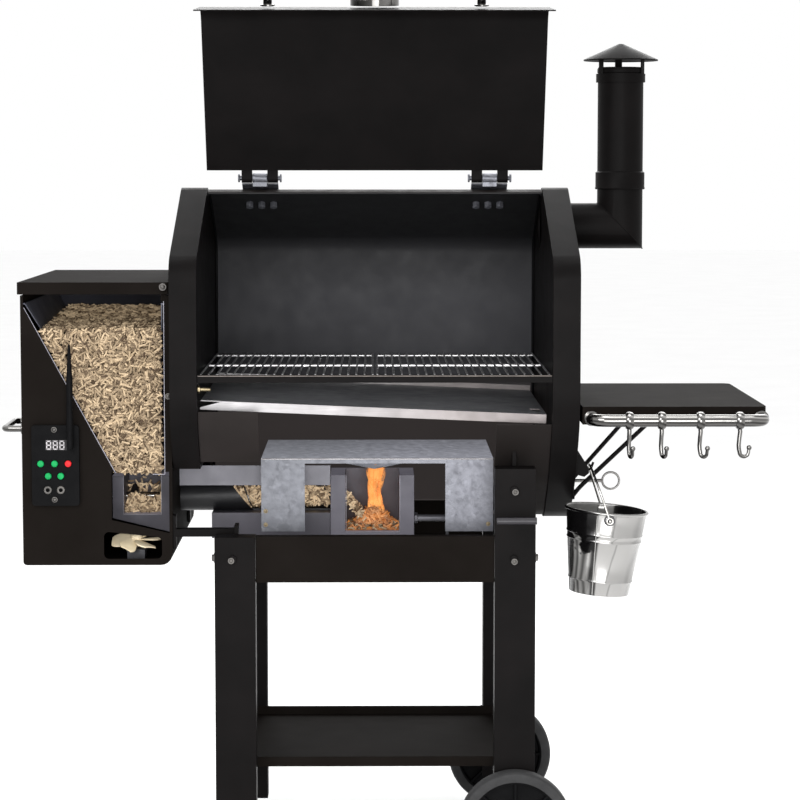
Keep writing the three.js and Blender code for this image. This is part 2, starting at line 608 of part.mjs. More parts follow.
add('feed_box', feedBox(), 'cutSteel');
add('auger_tube', augerTube(), 'cutSteel');
add('auger_screw', augerScrew(), 'stainless');
add('auger_motor', augerMotor(), 'darkSteel');
add('fan_rotor', fanRotor(), 'rotor');
add('fan_motor', fanMotor(), 'darkSteel');

// ---- Fire: burn cup, embers, igniter, heat baffle and the ash gate ----
const CUP_INSIDE = { x0: CUP.x0 + CUP.wall, x1: CUP.x1 - CUP.wall, y1: CUP.y1 - 4 };

function burnCup() {
  const inside = box(CUP_INSIDE.x0, CUP_INSIDE.x1, CUP.y0 - 1, CUP_INSIDE.y1, CUP.floor, CUP.z1 + 1);
  const inlet = bar('x', CUP.x0 - 1, CUP_INSIDE.x0 + 1, AUGER_AT, AUGER.tubeRadius - AUGER.wall, 20);
  const ashHole = box(-22, 18, 228, 272, CUP.z0 - 1, CUP.floor + 1);
  const igniterHole = bar('x', CUP_INSIDE.x1 - 1, CUP.x1 + 1, [IGNITER.y, IGNITER.z], IGNITER.radius + GAP, 14);
  return cut(box(CUP.x0, CUP.x1, CUP.y0, CUP.y1, CUP.z0, CUP.z1), inside, inlet, ashHole, igniterHole);
}

function emberBed() {
  const { x0, x1, y1 } = CUP_INSIDE;
  const outline = rounded([[x0 + 1, CUP.floor + GAP], [x1 - 1, CUP.floor + GAP], [x1 - 1, 540, 0],
    [8, 556, 30], [x0 + 1, 543, 0]]);
  return prism('y', outline, CUP.y0 + 24, y1 - 1);
}

function igniterRod() {
  return join(
    bar('x', CUP_INSIDE.x1 + 2, BAFFLE.x1 - 4, [IGNITER.y, IGNITER.z], IGNITER.radius, 14),
    bar('x', CUP.x1 + GAP, CUP.x1 + 6, [IGNITER.y, IGNITER.z], 9, 6),
  );
}

// Folded tray upside down over the burn cup, with a cutaway window in its front.
function heatBaffle() {
  const { x0, x1, y0, y1, z0, z1, wall } = BAFFLE;
  const top = box(x0, x1, y0, y1, z1 - wall, z1);
  const front = box(x0, x1, y0, y0 + wall, z0, z1);
  const back = box(x0, x1, y1 - wall, y1, 640, z1);
  const sides = [[x0, x0 + wall], [x1 - wall, x1]].map(([a, b]) => box(a, b, y0, y1, z1 - 16, z1));
  const window = box(-113, 113, y0 - 1, y0 + wall + 1, z0 - 1, z1 - 8);
  const rivets = [[x0 + 7, z0 + 33], [x0 + 7, z0 + 11], [x1 - 8, z0 + 12]];
  const holes = rivets.map((hole) => bar('y', y0 - 1, y0 + 5, hole, 2.2, 10));
  return cut(join(top, front, back, ...sides), window, ...holes);
}

function flameDeflector() {
  const [x, half, apex, edge] = [-1, 73, 634, 648];
  const vee = prism('y', [[x - half, edge - 2], [x, apex - 2], [x + half, edge - 2], [x + half, edge],
    [x, apex], [x - half, edge]], 205, 295);
  const posts = [x - 40, x + 40].map((at) => bar('z', 640.5, BAFFLE.z1 - BAFFLE.wall - GAP, [at, 250], 4, 8));
  return join(vee, ...posts);
}

// Ash gate below the burn cup, with the link and the ring rod that pull it open.
const GATE = { z0: 507, z1: 511, linkX0: 117.5, linkX1: 122, travel: 70 };

function ashGateRod() {
  const { y, z, radius, ringX, ringRadius } = GATE_ROD;
  const plate = box(-42, GATE.linkX1, 225, 275, GATE.z0, GATE.z1);
  const link = box(GATE.linkX0, GATE.linkX1, 243, 257, GATE.z0, z + 4);
  const shaft = bar('x', GATE.linkX0, ringX - ringRadius, [y, z], radius, 8);
  const ring = new THREE.TorusGeometry(ringRadius, 1.9, 5, 16).rotateX(Math.PI / 2).translate(ringX, y, z);
  return join(plate, link, shaft, solid(ring));
}

function ashCup() {
  const profile = [[0, 452], [48, 452], [58, 464], [58, 498], [62, 498], [62, 501], [56, 501], [56, 465],
    [47, 454], [0, 454]];
  const bowl = turned(profile, -2, 250, 20);
  const straps = [[190, 206, 203, 206], [294, 310, 294, 297]].map(([y0, y1, y2, y3]) => (
    join(box(-6, 2, y0, y1, 498, 501), box(-6, 2, y2, y3, 499, CUP.z0 - GAP))
  ));
  return join(bowl, ...straps);
}

add('burn_cup', burnCup(), 'cutSteel');
add('ember_bed', emberBed(), 'embers');
add('igniter_rod', igniterRod(), 'darkSteel');
add('heat_baffle', heatBaffle(), 'galvanised');
add('flame_deflector', flameDeflector(), 'darkSteel');
add('ash_gate_rod', ashGateRod(), 'galvanised');
add('ash_cup', ashCup(), 'darkSteel');

// ---- Cooking: sloping drip tray and two lift-out grates ----
const TRAY = { x0: -275, x1: 270, y0: 40, y1: 478, z: 749, lip: 15, tilt: 2.4 };
const WIRE = 3.2;
const WIRE_PITCH = 18;

function dripTray() {
  const { x0, x1, y0, y1, z, lip, tilt } = TRAY;
  const section = [[y0, z - lip], [y0 + 2, z - lip], [y0 + 2, z - 2], [y1, z - 2], [y1, z + 9],
    [y1 - 2, z + 9], [y1 - 2, z], [y0, z]];
  const taper = prism('y', [[x0 - 9, z + 1], [x0 + 40, z + 1], [x0, z - lip + 4], [x0 - 9, z - lip + 4]], 30, 43);
  const drain = box(x1 - 22, x1 - 6, 92, 128, z - 5, z + 3);
  return turnAbout(Y_AXIS, cut(prism('x', section, x0, x1), taper, drain), tilt, V(0, 0, z - 8));
}

function grate(x0, x1) {
  const [y0, y1] = [30, 484];
  const count = Math.floor((x1 - x0) / WIRE_PITCH);
  const pitch = (x1 - x0 - WIRE) / count;
  const lengthwise = Array.from({ length: count + 1 }, (_, k) => (
    box(x0 + k * pitch, x0 + k * pitch + WIRE, y0, y1, GRATE_Z, GRATE_Z + WIRE)
  ));
  const rows = [y0 + 1, (y0 + y1) / 2, y1 - 5].map((y) => box(x0, x1, y, y + 4, GRATE_Z - 3, GRATE_Z + 1));
  return join(...lengthwise, ...rows);
}

add('drip_tray', dripTray(), 'bright');
add('grate_left', grate(-275, -2), 'stainless');
add('grate_right', grate(2, 275), 'stainless');

// ---- Controller: panel, five push buttons and the antenna ----
const PANEL_FACE = HOPPER.y0 - GAP - 7.6;
const BUTTONS = [
  { name: 'button_start', x: -527.6, z: 659, finish: 'green' },
  { name: 'button_feed', x: -505.6, z: 659, finish: 'green' },
  { name: 'button_stop', x: -484.3, z: 659, finish: 'red' },
  { name: 'button_probe_left', x: -515.8, z: 639.4, finish: 'green' },
  { name: 'button_probe_right', x: -496.1, z: 639.4, finish: 'green' },
];
const ANTENNA = { x: -480, z: 688, top: 849, y: PANEL_FACE - 8, radius: 5.5 };

function controllerPanel() {
  const { x0, x1, z0, z1 } = PANEL;
  const outline = rounded([[x0, z0, 5], [x1, z0, 5], [x1, z1, 5], [x0, z1, 5]]);
  const plate = prism('y', outline, PANEL_FACE, HOPPER.y0 - GAP);
  const holes = BUTTONS.map(({ x, z }) => bar('y', 30, 80, [x, z], BUTTON_RADIUS + GAP, 10));
  const display = box(-520, -486, PANEL_FACE - 1, PANEL_FACE + 1.2, 680, 697);
  const jackX = [-516.6, -496.1];
  const jacks = jackX.map((x) => bar('y', PANEL_FACE - 3, PANEL_FACE + 1, [x, 617.4], 6.2, 10));
  const sockets = jackX.map((x) => bar('y', PANEL_FACE - 4, PANEL_FACE + 4, [x, 617.4], 2.8, 6));
  const screws = [713, 602].map((z) => bar('y', PANEL_FACE - 2, PANEL_FACE + 1, [-506, z], 3.4, 6));
  return cut(join(plate, ...jacks, ...screws), ...holes, display, ...sockets);
}

function pushButton({ x, z }) {
  return bar('y', PANEL_FACE - 3.6, PANEL_FACE + 4.4, [x, z], BUTTON_RADIUS, 12);
}

function antenna() {
  const { x, z, top, y, radius } = ANTENNA;
  const profile = [[0, z - 5], [radius, z - 5], [radius, z + 108], [2.4, top - 3], [0, top]];
  return join(turned(profile, x, y, 12), bar('y', y, PANEL_FACE - GAP, [x, z], 4.6, 8));
}

add('controller_panel', controllerPanel(), 'plastic');
BUTTONS.forEach((button) => add(button.name, pushButton(button), button.finish));
add('antenna', antenna(), 'plastic');

// ---- Side shelf with its chrome rail, hooks and braces ----
function sideShelf() {
  const { x0, x1, y0, y1, z, lip, wall } = SHELF;
  const outline = (margin, radius) => rounded([[x0 + margin, y0 + margin], [x1 - margin, y0 + margin, radius],
    [x1 - margin, y1 - margin, radius], [x0 + margin, y1 - margin]]);
  return prism('z', outline(0, 14), z - lip, z).subtract(prism('z', outline(wall, 12), z - lip - 1, z - wall));
}

function shelfRail() {
  const face = SHELF.y0 - GAP;
  const { x0, x1, y, z, radius, bend } = RAIL;
  const route = bent([V(x0, face, z), V(x0, y, z), V(x1, y, z), V(x1, face, z)], bend, 4);
  const flanges = [x0, x1].map((x) => bar('y', face - 3, face, [x, z], radius + 2.5, 12));
  return join(rod(route, radius, 12), ...flanges);
}

const HOOK = { wire: 2.2, eye: 12.9, drop: 47, bend: 9 };

function railHook(x) {
  const { wire, eye, drop, bend } = HOOK;
  const { y, z } = RAIL;
  const ring = solid(new THREE.TorusGeometry(eye, wire, 5, 12).rotateY(Math.PI / 2).translate(x, y, z));
  const route = [V(x, y, z - eye), V(x, y, z - drop)];
  for (let k = 1; k <= 5; k += 1) {
    const angle = (k / 5) * Math.PI * 0.95;
    route.push(V(x + bend - bend * Math.cos(angle), y, z - drop - bend * Math.sin(angle)));
  }
  const tip = route.at(-1);
  route.push(V(tip.x + 1.5, y, tip.z + 7));
  const ball = solid(new THREE.SphereGeometry(3.4, 6, 5).translate(tip.x + 1.5, y, tip.z + 8));
  return join(ring, rod(route, 2.4, 5), ball);
}

function shelfBrace(y, top) {
  const route = bent([V(CAP_OUTER + 5, y, 589), V(335, y, 602), V(top - 6, y, 728), V(top, y, 750)], 8, 3);
  const foot = bar('x', CAP_OUTER + GAP, CAP_OUTER + 7, [y, 591], 9, 10);
  const pad = box(top - 10, top + 10, y - 9, y + 9, 747, SHELF.z - SHELF.wall - GAP);
  return join(rod(route, 3.6, 6), foot, pad);
}

add('side_shelf', sideShelf(), 'blackPanel');
add('shelf_rail', shelfRail(), 'chrome');
HOOK_X.forEach((x, k) => add(`rail_hook_${k + 1}`, railHook(x), 'chrome'));
add('shelf_brace_front', shelfBrace(200, 474), 'black');
add('shelf_brace_rear', shelfBrace(330, 452), 'black');

// ---- Grease: spout on the end cap, bail and bucket ----
const BAIL = { hookX: 344, hookZ: 650, earZ: 568, wire: 1.8, earReach: 71.5 };
const BUCKET_TILT = 5;
const EAR = V(BUCKET.x, BUCKET.y, BAIL.earZ);

function greaseSpout() {
  const { y } = BUCKET;
  const [face, tip] = [CAP_OUTER + GAP, BAIL.hookX];
  const side = [[face, 680], [tip - 2, BAIL.hookZ - 4], [tip - 2, BAIL.hookZ - 12], [face + 14, 632], [face, 636]];
  const body = prism('y', side, y - 16, y + 16);
  const chute = prism('y', [[face - 1, 674], [tip - 6, BAIL.hookZ - 8], [tip - 6, 600], [face + 8, 600],
    [face + 8, 640], [face - 1, 640]], y - 13, y + 13);
  const hook = rod(bent([V(tip - 6, y, 642), V(tip + 2, y, 642.4), V(tip + 6, y, 654)], 4, 3), 2, 8);
  return join(body.subtract(chute), hook);
}

function greaseBucket() {
  const { x, y, z0, z1, rimRadius, baseRadius, wall } = BUCKET;
  const side = (z) => baseRadius + ((rimRadius - 2 - baseRadius) * (z - z0)) / (z1 - z0);
  const profile = [[0, z0 + 4], [baseRadius - 4, z0 + 4], [baseRadius - 3, z0], [baseRadius, z0],
    [side(z1 - 4), z1 - 4], [rimRadius, z1 - 4], [rimRadius, z1], [side(z1) - wall, z1],
    [baseRadius - wall, z0 + 5 + wall], [0, z0 + 5 + wall]];
  const ears = [-1, 1].map((sign) => {
    const [inner, outer] = [y + sign * (side(EAR.z) - 1), y + sign * (BAIL.earReach + 4)];
    const pin = bar('y', Math.min(inner, outer), Math.max(inner, outer), [x, EAR.z], 2.4, 8);
    const [plateA, plateB] = [y + sign * (side(EAR.z) - 1), y + sign * (side(EAR.z) + 3)];
    return join(pin, bar('y', Math.min(plateA, plateB), Math.max(plateA, plateB), [x, EAR.z], 9, 10));
  });
  return turnAbout(Y_AXIS, join(turned(profile, x, y, 26), ...ears), BUCKET_TILT, EAR);
}

// Wire bail, leaning from the two ears up to the spout hook.
function bucketBail() {
  const { hookX, hookZ, earZ, wire, earReach } = BAIL;
  const lean = V(hookX - BUCKET.x, 0, hookZ - earZ);
  const route = [];
  for (let k = 0; k <= 12; k += 1) {
    const angle = (k / 12) * Math.PI;
    const rise = Math.sin(angle) ** 0.8;
    const point = EAR.clone().addScaledVector(lean, rise);
    route.push(point.setY(BUCKET.y - earReach * Math.cos(angle)));
  }
  const away = lean.clone().normalize();
  const eyes = [-earReach, earReach].map((reach) => {
    const eye = new THREE.TorusGeometry(4.6, wire, 5, 10).rotateX(Math.PI / 2);
    return solid(eye.translate(BUCKET.x, BUCKET.y + reach, earZ));
  });
  route[0].addScaledVector(away, 4.6);
  route[12].addScaledVector(away, 4.6);
  return join(rod(route, wire, 5), ...eyes);
}

add('grease_spout', greaseSpout(), 'black');
add('grease_bucket', greaseBucket(), 'stainless');
add('bucket_bail', bucketBail(), 'stainless');

// ---- Stand: two welded leg frames, aprons, bottom shelf and wheels ----
const POST_WALL = 2;
const LOW_RAIL = { z0: 150, z1: 172 };

function openPost(x0, x1, y0, y1, z0, z1) {
  const bore = box(x0 + POST_WALL, x1 - POST_WALL, y0 + POST_WALL, y1 - POST_WALL, z0 - 1, z1 - POST_WALL);
  return box(x0, x1, y0, y1, z0, z1).subtract(bore);
}

function boltHeads(x, zs) {
  return zs.map((z) => bar('y', LEG_FRONT.y0 - 4, LEG_FRONT.y0 + 1, [x, z], 6.5, 6));
}

// Cradle plate under the barrel, with the rails that tie the front and back legs together.
function sideFrame(inner, outer, bottom) {
  const middle = (inner + outer) / 2;
  const lowX = [Math.min(inner, outer), Math.max(inner, outer)];
  const [y0, y1] = [LEG_FRONT.y1 - 1, LEG_BACK.y0 + 1];
  const cradle = box(middle - 3, middle + 3, y0, y1, LEG_SEAM_Z, 730).subtract(skinSolid);
  const rail = box(middle - 16, middle + 16, y0, y1, LEG_SEAM_Z, LEG_SEAM_Z + 20);
  const low = box(lowX[0] + 8, lowX[1] - 8, y0, y1, LOW_RAIL.z0, LOW_RAIL.z1);
  const rear = openPost(lowX[0], lowX[1], LEG_BACK.y0, LEG_BACK.y1, bottom, 655);
  return join(cradle, rail, low, rear);
}

function legFrameLeft() {
  const frame = sideFrame(-LEG_IN, -LEG_OUT, 24);
  const front = openPost(-LEG_OUT, -LEG_IN, LEG_FRONT.y0, LEG_FRONT.y1, 24, 547);
  const middle = -(LEG_IN + LEG_OUT) / 2;
  const arms = [62, 380].map((y) => box(HOPPER.x1 + GAP, middle, y, y + 22, 541, 553));
  const pads = [62, 380].map((y) => box(HOPPER.x1 + GAP, HOPPER.x1 + 5, y, y + 22, 520, 575));
  const feet = [LEG_FRONT, LEG_BACK].map(({ y0, y1 }) => {
    const at = [middle, (y0 + y1) / 2];
    return join(bar('z', 0, 12, at, 22, 18, 19), bar('z', 10, 40, at, 9, 12),
      box(-LEG_OUT + 1, -LEG_IN - 1, y0 + 8, y1 - 8, 30, 36));
  });
  const notches = [box(-240, -200, 86, 312, 508, 760), box(-240, -200, 49, 87, 560, 760)];
  return cut(join(frame, front, ...arms, ...pads, ...feet, ...boltHeads(middle - 3, [513])), ...notches);
}

function legFrameRight() {
  const frame = sideFrame(LEG_IN, LEG_OUT, 62);
  const front = openPost(LEG_IN, LEG_OUT, LEG_FRONT.y0, LEG_FRONT.y1, 62, 655);
  const at = [WHEEL.x, WHEEL.radius];
  const axleFront = join(
    bar('y', LEG_FRONT.y0 - WHEEL.width - 8, LEG_FRONT.y1, at, 8, 12),
    bar('y', LEG_FRONT.y0 - WHEEL.width - 8, LEG_FRONT.y0 - WHEEL.width - 4, at, 14, 12),
  );
  const axleBack = join(
    bar('y', LEG_BACK.y0, LEG_BACK.y1 + WHEEL.width + 8, at, 8, 12),
    bar('y', LEG_BACK.y1 + WHEEL.width + 4, LEG_BACK.y1 + WHEEL.width + 8, at, 14, 12),
  );
  const bolts = boltHeads(WHEEL.x - 2, [622, 513]);
  return join(frame, front, axleFront, axleBack, ...bolts);
}

function apron(y0, y1, flangeY0, flangeY1) {
  const half = LEG_IN - GAP;
  return join(
    box(-half, half, y0, y1, LEG_SEAM_Z, 548),
    box(-half, half, flangeY0, flangeY1, LEG_SEAM_Z, LEG_SEAM_Z + 2.5),
    box(-half, half, flangeY0, flangeY1, 545.5, 548),
  );
}

function bottomShelf() {
  const [half, y0, y1, z] = [LEG_OUT - 10, LEG_FRONT.y1 + GAP, LEG_BACK.y0 - GAP, LOW_RAIL.z1 + GAP];
  const pan = box(-half, half, y0, y1, z, z + 16);
  return pan.subtract(box(-half + 2, half - 2, y0 + 2, y1 - 2, z + 2, z + 17));
}

function wheel(y0) {
  const { radius, width, x } = WHEEL;
  const [inner, outer] = [y0 + 2, y0 + width - 2];
  const tyre = prism('y', Array.from({ length: 24 }, (_, k) => {
    const angle = (k / 24) * Math.PI * 2;
    return [x + radius * Math.cos(angle), radius + radius * Math.sin(angle)];
  }), inner, outer);
  const rimBore = bar('y', inner - 1, outer + 1, [x, radius], radius - 18, 20);
  const hub = bar('y', y0 + 0.5, y0 + width - 0.5, [x, radius], 18, 12);
  const web = bar('y', y0 + width / 2 - 2, y0 + width / 2 + 2, [x, radius], radius - 16, 20);
  const slots = Array.from({ length: 5 }, (_, k) => {
    const angle = (k / 5) * Math.PI * 2;
    return bar('y', y0, y0 + width, [x + 44 * Math.cos(angle), radius + 44 * Math.sin(angle)], 15, 8);
  });
  const bore = bar('y', y0 - 1, y0 + width + 1, [x, radius], 8 + GAP, 12);
  return join(tyre.subtract(rimBore), cut(web, ...slots), hub).subtract(bore);
}

add('leg_frame_left', legFrameLeft(), 'black');
add('leg_frame_right', legFrameRight(), 'black');
add('apron_front', apron(14, 16.5, 14, 34), 'blackPanel');
add('apron_rear', apron(473.5, 476, 456, 476), 'blackPanel');
add('bottom_shelf', bottomShelf(), 'blackPanel');
add('wheel_front', wheel(LEG_FRONT.y0 - WHEEL.width - 3), 'rubber');
add('wheel_rear', wheel(LEG_BACK.y1 + 3), 'rubber');

// ---- Put the origin at the bottom centre of the whole grill ----
const bounds = new THREE.Box3().setFromObject(group);
const centre = bounds.getCenter(V(0, 0, 0));
for (const mesh of group.children) mesh.geometry.translate(-centre.x, -centre.y, -bounds.min.z);

export default group;
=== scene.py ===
"""Looks of the pellet smoker grill cutaway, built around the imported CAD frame."""

import math
import random

import bpy
import numpy as np
from mathutils import Matrix, Vector


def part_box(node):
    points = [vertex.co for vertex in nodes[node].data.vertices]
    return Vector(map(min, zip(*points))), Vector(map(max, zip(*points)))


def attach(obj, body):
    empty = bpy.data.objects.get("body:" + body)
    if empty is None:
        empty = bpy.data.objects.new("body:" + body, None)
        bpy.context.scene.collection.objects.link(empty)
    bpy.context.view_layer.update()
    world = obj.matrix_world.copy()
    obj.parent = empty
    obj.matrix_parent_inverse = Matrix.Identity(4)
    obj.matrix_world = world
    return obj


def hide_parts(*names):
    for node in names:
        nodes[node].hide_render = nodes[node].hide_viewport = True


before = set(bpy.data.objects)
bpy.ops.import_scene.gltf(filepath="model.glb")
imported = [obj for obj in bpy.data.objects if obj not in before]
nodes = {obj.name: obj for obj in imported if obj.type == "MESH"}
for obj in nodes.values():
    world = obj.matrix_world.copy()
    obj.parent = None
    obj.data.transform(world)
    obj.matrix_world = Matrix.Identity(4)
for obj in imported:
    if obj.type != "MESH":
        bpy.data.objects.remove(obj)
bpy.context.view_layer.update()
rng = random.Random(7)

# Drawing origin: middle of the barrel, its front wall, the ground. Metres.
CAP_LEFT, CAP_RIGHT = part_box("end_cap_left"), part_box("end_cap_right")
ORIGIN = Vector(((CAP_LEFT[0].x + CAP_RIGHT[1].x) / 2, CAP_LEFT[0].y, 0.0))
MM = 0.001


def at(x, y, z):
    """Point given in millimetres from the drawing origin."""
    return ORIGIN + Vector((x, y, z)) * MM


# Places of the CAD drawing, in millimetres from its origin.
LID_PIVOT, LID_OPENING = (0, 287, 1107), 85  # hinge axis and the lid's opening in degrees
AUGER_Y, AUGER_Z = 250, 583
RAIL_Y, RAIL_Z = -36, 735
EAR_Z = 568
PANEL_FACE = 52

# ---- Camera: a long lens straight at the front, above the grates ----
CAMERA_DISTANCE, CAMERA_HEIGHT = 4000, 1128.6
FOCAL = 3.226  # focal length in image widths
HORIZON, CENTRE_X = 0.2062, 0.4686  # where eye level and the barrel's middle fall in the image

camera_data = bpy.data.cameras.new("camera")
camera = bpy.data.objects.new("camera", camera_data)
bpy.context.scene.collection.objects.link(camera)
bpy.context.scene.camera = camera
camera_data.sensor_width = 36
camera_data.lens = 36 * FOCAL
camera_data.clip_end = 60
camera.location = at(0, -CAMERA_DISTANCE, CAMERA_HEIGHT)
pitch = math.atan((0.5 - HORIZON) / FOCAL)
yaw = math.atan((0.5 - CENTRE_X) / FOCAL)
camera.rotation_euler = (math.pi / 2 - pitch, 0, -yaw)


# ---- Light and floor ----
def area_light(name, where, target, size, power):
    data = bpy.data.lights.new(name, "AREA")
    data.shape = "RECTANGLE"
    data.size, data.size_y = size
    data.energy = power
    lamp = bpy.data.objects.new(name, data)
    bpy.context.scene.collection.objects.link(lamp)
    lamp.location = where
    lamp.rotation_euler = (target - where).to_track_quat("-Z", "Y").to_euler()


MIDDLE = at(0, 200, 750)
area_light("key_light", at(-1500, -2700, 2300), MIDDLE, (1.8, 1.6), 66)
area_light("front_light", at(250, -3300, 700), MIDDLE, (1.8, 1.2), 56)
area_light("top_light", at(200, 300, 3300), MIDDLE, (2.4, 1.6), 46)
area_light("back_light", at(500, 3000, 2200), MIDDLE, (2.4, 1.2), 36)

world = bpy.data.worlds.new("studio")
bpy.context.scene.world = world
world.use_nodes = True
world.node_tree.nodes["Background"].inputs["Color"].default_value = (1, 1, 1, 1)
world.node_tree.nodes["Background"].inputs["Strength"].default_value = 1.0
bpy.context.scene.view_settings.view_transform = "Standard"


# ---- Materials ----
class Nodes:
    """Small helper that adds and links shader nodes of one material."""

    def __init__(self, name):
        self.material = bpy.data.materials.new(name)
        self.material.use_nodes = True
        self.tree = self.material.node_tree
        self.shader = self.tree.nodes["Principled BSDF"]
        self.place = self.add("ShaderNodeTexCoord").outputs["Object"]

    def add(self, kind, inputs=None, **settings):
        node = self.tree.nodes.new(kind)
        for key, value in settings.items():
            setattr(node, key, value)
        for key, value in (inputs or {}).items():
            if isinstance(value, bpy.types.NodeSocket):
                self.tree.links.new(value, node.inputs[key])
            else:
                node.inputs[key].default_value = value
        return node

    def set(self, **values):
        for key, value in values.items():
            socket = self.shader.inputs[key.replace("_", " ")]
            if isinstance(value, bpy.types.NodeSocket):
                self.tree.links.new(value, socket)
            else:
                socket.default_value = value

    def noise(self, scale, detail=4, stretch=(1, 1, 1), rough=0.55):
        spread = self.add("ShaderNodeMapping", {"Vector": self.place, "Scale": stretch})
        return self.add("ShaderNodeTexNoise", {
            "Vector": spread.outputs[0], "Scale": scale, "Detail": detail, "Roughness": rough,
        }).outputs["Fac"]

    def span(self, value, low, high, start=0.3, end=0.7):
        return self.add("ShaderNodeMapRange", {
            "Value": value, "From Min": start, "From Max": end, "To Min": low, "To Max": high,
        }).outputs[0]

    def mix(self, factor, first, second):
        node = self.add("ShaderNodeMix", data_type="RGBA")
        for index, value in ((0, factor), (6, first), (7, second)):
            if isinstance(value, bpy.types.NodeSocket):
                self.tree.links.new(value, node.inputs[index])
            elif index == 0:
                node.inputs[0].default_value = value
            else:
                node.inputs[index].default_value = (*value, 1)
        return node.outputs[2]

    def along(self, axis, vector=None):
        """One coordinate of a vector; of the place on the object if no vector is given."""
        vector = self.place if vector is None else vector
        return self.add("ShaderNodeSeparateXYZ", {"Vector": vector}).outputs[axis]

    def normal(self):
        return self.add("ShaderNodeTexCoord").outputs["Normal"]

    def math(self, operation, first, second):
        return self.add("ShaderNodeMath", {0: first, 1: second}, operation=operation).outputs[0]

    def vector_math(self, operation, first, second, output="Vector"):
        return self.add("ShaderNodeVectorMath", {0: first, 1: second}, operation=operation).outputs[output]

    def bump(self, height, strength, distance=0.0006):
        bump = self.add("ShaderNodeBump", {"Height": height, "Strength": strength, "Distance": distance})
        self.set(Normal=bump.outputs[0])


def srgb(r, g, b):
    """0-255 screen colour as linear light."""
    return tuple(((c / 255 + 0.055) / 1.055) ** 2.4 if c > 10 else c / 255 / 12.92 for c in (r, g, b))


def paint(name, dark, light, rough, metal=0.0, grain=14, bump=0.12, specular=0.5, painted_top_light=0.0):
    """Painted or plain surface: two close shades in soft patches, uneven gloss and a fine grain.

    The top-light argument brightens the faces that look up with an emission of their colour: painted light.
    """
    m = Nodes(name)
    patches = m.span(m.noise(grain, 5), 0, 1)
    fine = m.noise(900, 2)
    colour = m.mix(patches, srgb(*dark), srgb(*light))
    m.set(Base_Color=m.mix(m.span(fine, 0, 0.16), colour, srgb(*light)), Metallic=metal)
    m.set(Roughness=m.span(m.noise(grain * 2.3, 6), *rough), Specular_IOR_Level=specular)
    # Painted light: faces that look up emit their own colour.
    if painted_top_light:
        up = m.along("Z", m.normal())
        m.set(Emission_Color=colour, Emission_Strength=m.span(up, 0, painted_top_light, 0.8, 0.95))
    m.bump(fine, bump)
    return m.material


def chamber_steel():
    """Oven-darkened sheet, darker toward the roof; below the grates a dark brownish tone with painted bounce
    light. Its outer side is black paint.
    """
    m = Nodes("chamber_steel")
    height = m.along("Z")
    # Darker toward the roof.
    roof_darkening = m.span(height, 0, 1, 0.89, 1.02)
    below = m.span(height, 1, 0, 0.715, 0.765)
    streaks = m.span(m.noise(9, 6, (1, 1, 0.35)), 0, 1)
    middle = m.mix(streaks, srgb(48, 48, 51), srgb(55, 55, 58))
    inside = m.mix(below, m.mix(roof_darkening, middle, srgb(27, 27, 28)), srgb(40, 36, 36))
    axis = at(0, 250, 830)
    across = m.vector_math("MULTIPLY", m.vector_math("SUBTRACT", m.place, axis), (0, 1, 1))
    outward = m.vector_math("DOT_PRODUCT", across, m.normal(), "Value")
    outer = m.span(outward, 0, 1, 0.01, 0.04)
    m.set(Base_Color=m.mix(outer, inside, srgb(30, 27, 26)))
    m.set(Specular_IOR_Level=m.span(outer, 0.12, 0.04, 0, 1))
    # Painted bounce light: the shaded lower chamber emits a dark brownish grey.
    painted_bounce = m.span(m.math("SUBTRACT", below, outer), 0, 0.85, 0, 1)
    m.set(Emission_Color=srgb(50, 46, 45) + (1,), Emission_Strength=painted_bounce)
    m.set(Roughness=m.span(m.noise(30, 4), 0.42, 0.58))
    m.bump(m.noise(700, 2), 0.1)
    return m.material


def galvanised():
    """Zinc spangle: pale crystals a few millimetres to centimetres across, with dull scratches."""
    m = Nodes("galvanised")
    cells = m.add("ShaderNodeTexVoronoi", {"Vector": m.place, "Scale": 150}, feature="F1")
    big = m.add("ShaderNodeTexVoronoi", {"Vector": m.place, "Scale": 60}, feature="F1")
    tone = m.add("ShaderNodeSeparateColor", {"Color": cells.outputs["Color"]}).outputs[0]
    tone_big = m.add("ShaderNodeSeparateColor", {"Color": big.outputs["Color"]}).outputs[1]
    scratch = m.span(m.noise(70, 6), 0, 1, 0.4, 0.66)
    first = m.mix(tone, srgb(88, 89, 95), srgb(128, 129, 136))
    second = m.mix(tone_big, first, srgb(108, 109, 116))
    shade = m.mix(scratch, second, srgb(92, 93, 99))
    left = m.span(m.along("X"), 0.3, 0, -0.1, 0.05)
    shade = m.mix(left, shade, srgb(70, 73, 75))
    # Painted light: faces that look up emit their colour, most at the front, to lift tops that lie in shade.
    up = m.along("Z", m.normal())
    near = m.span(m.along("Y"), 1, 0.55, -0.13, 0.16)
    fire_glow_and_painted_light = m.math("MULTIPLY", m.span(up, 0, 1.9, 0.8, 0.95), near)
    m.set(Base_Color=shade, Metallic=0.6, Emission_Color=shade, Emission_Strength=fire_glow_and_painted_light)
    m.set(Roughness=m.span(tone, 0.34, 0.52, 0, 1))
    m.bump(m.noise(240, 3), 0.12)
    return m.material


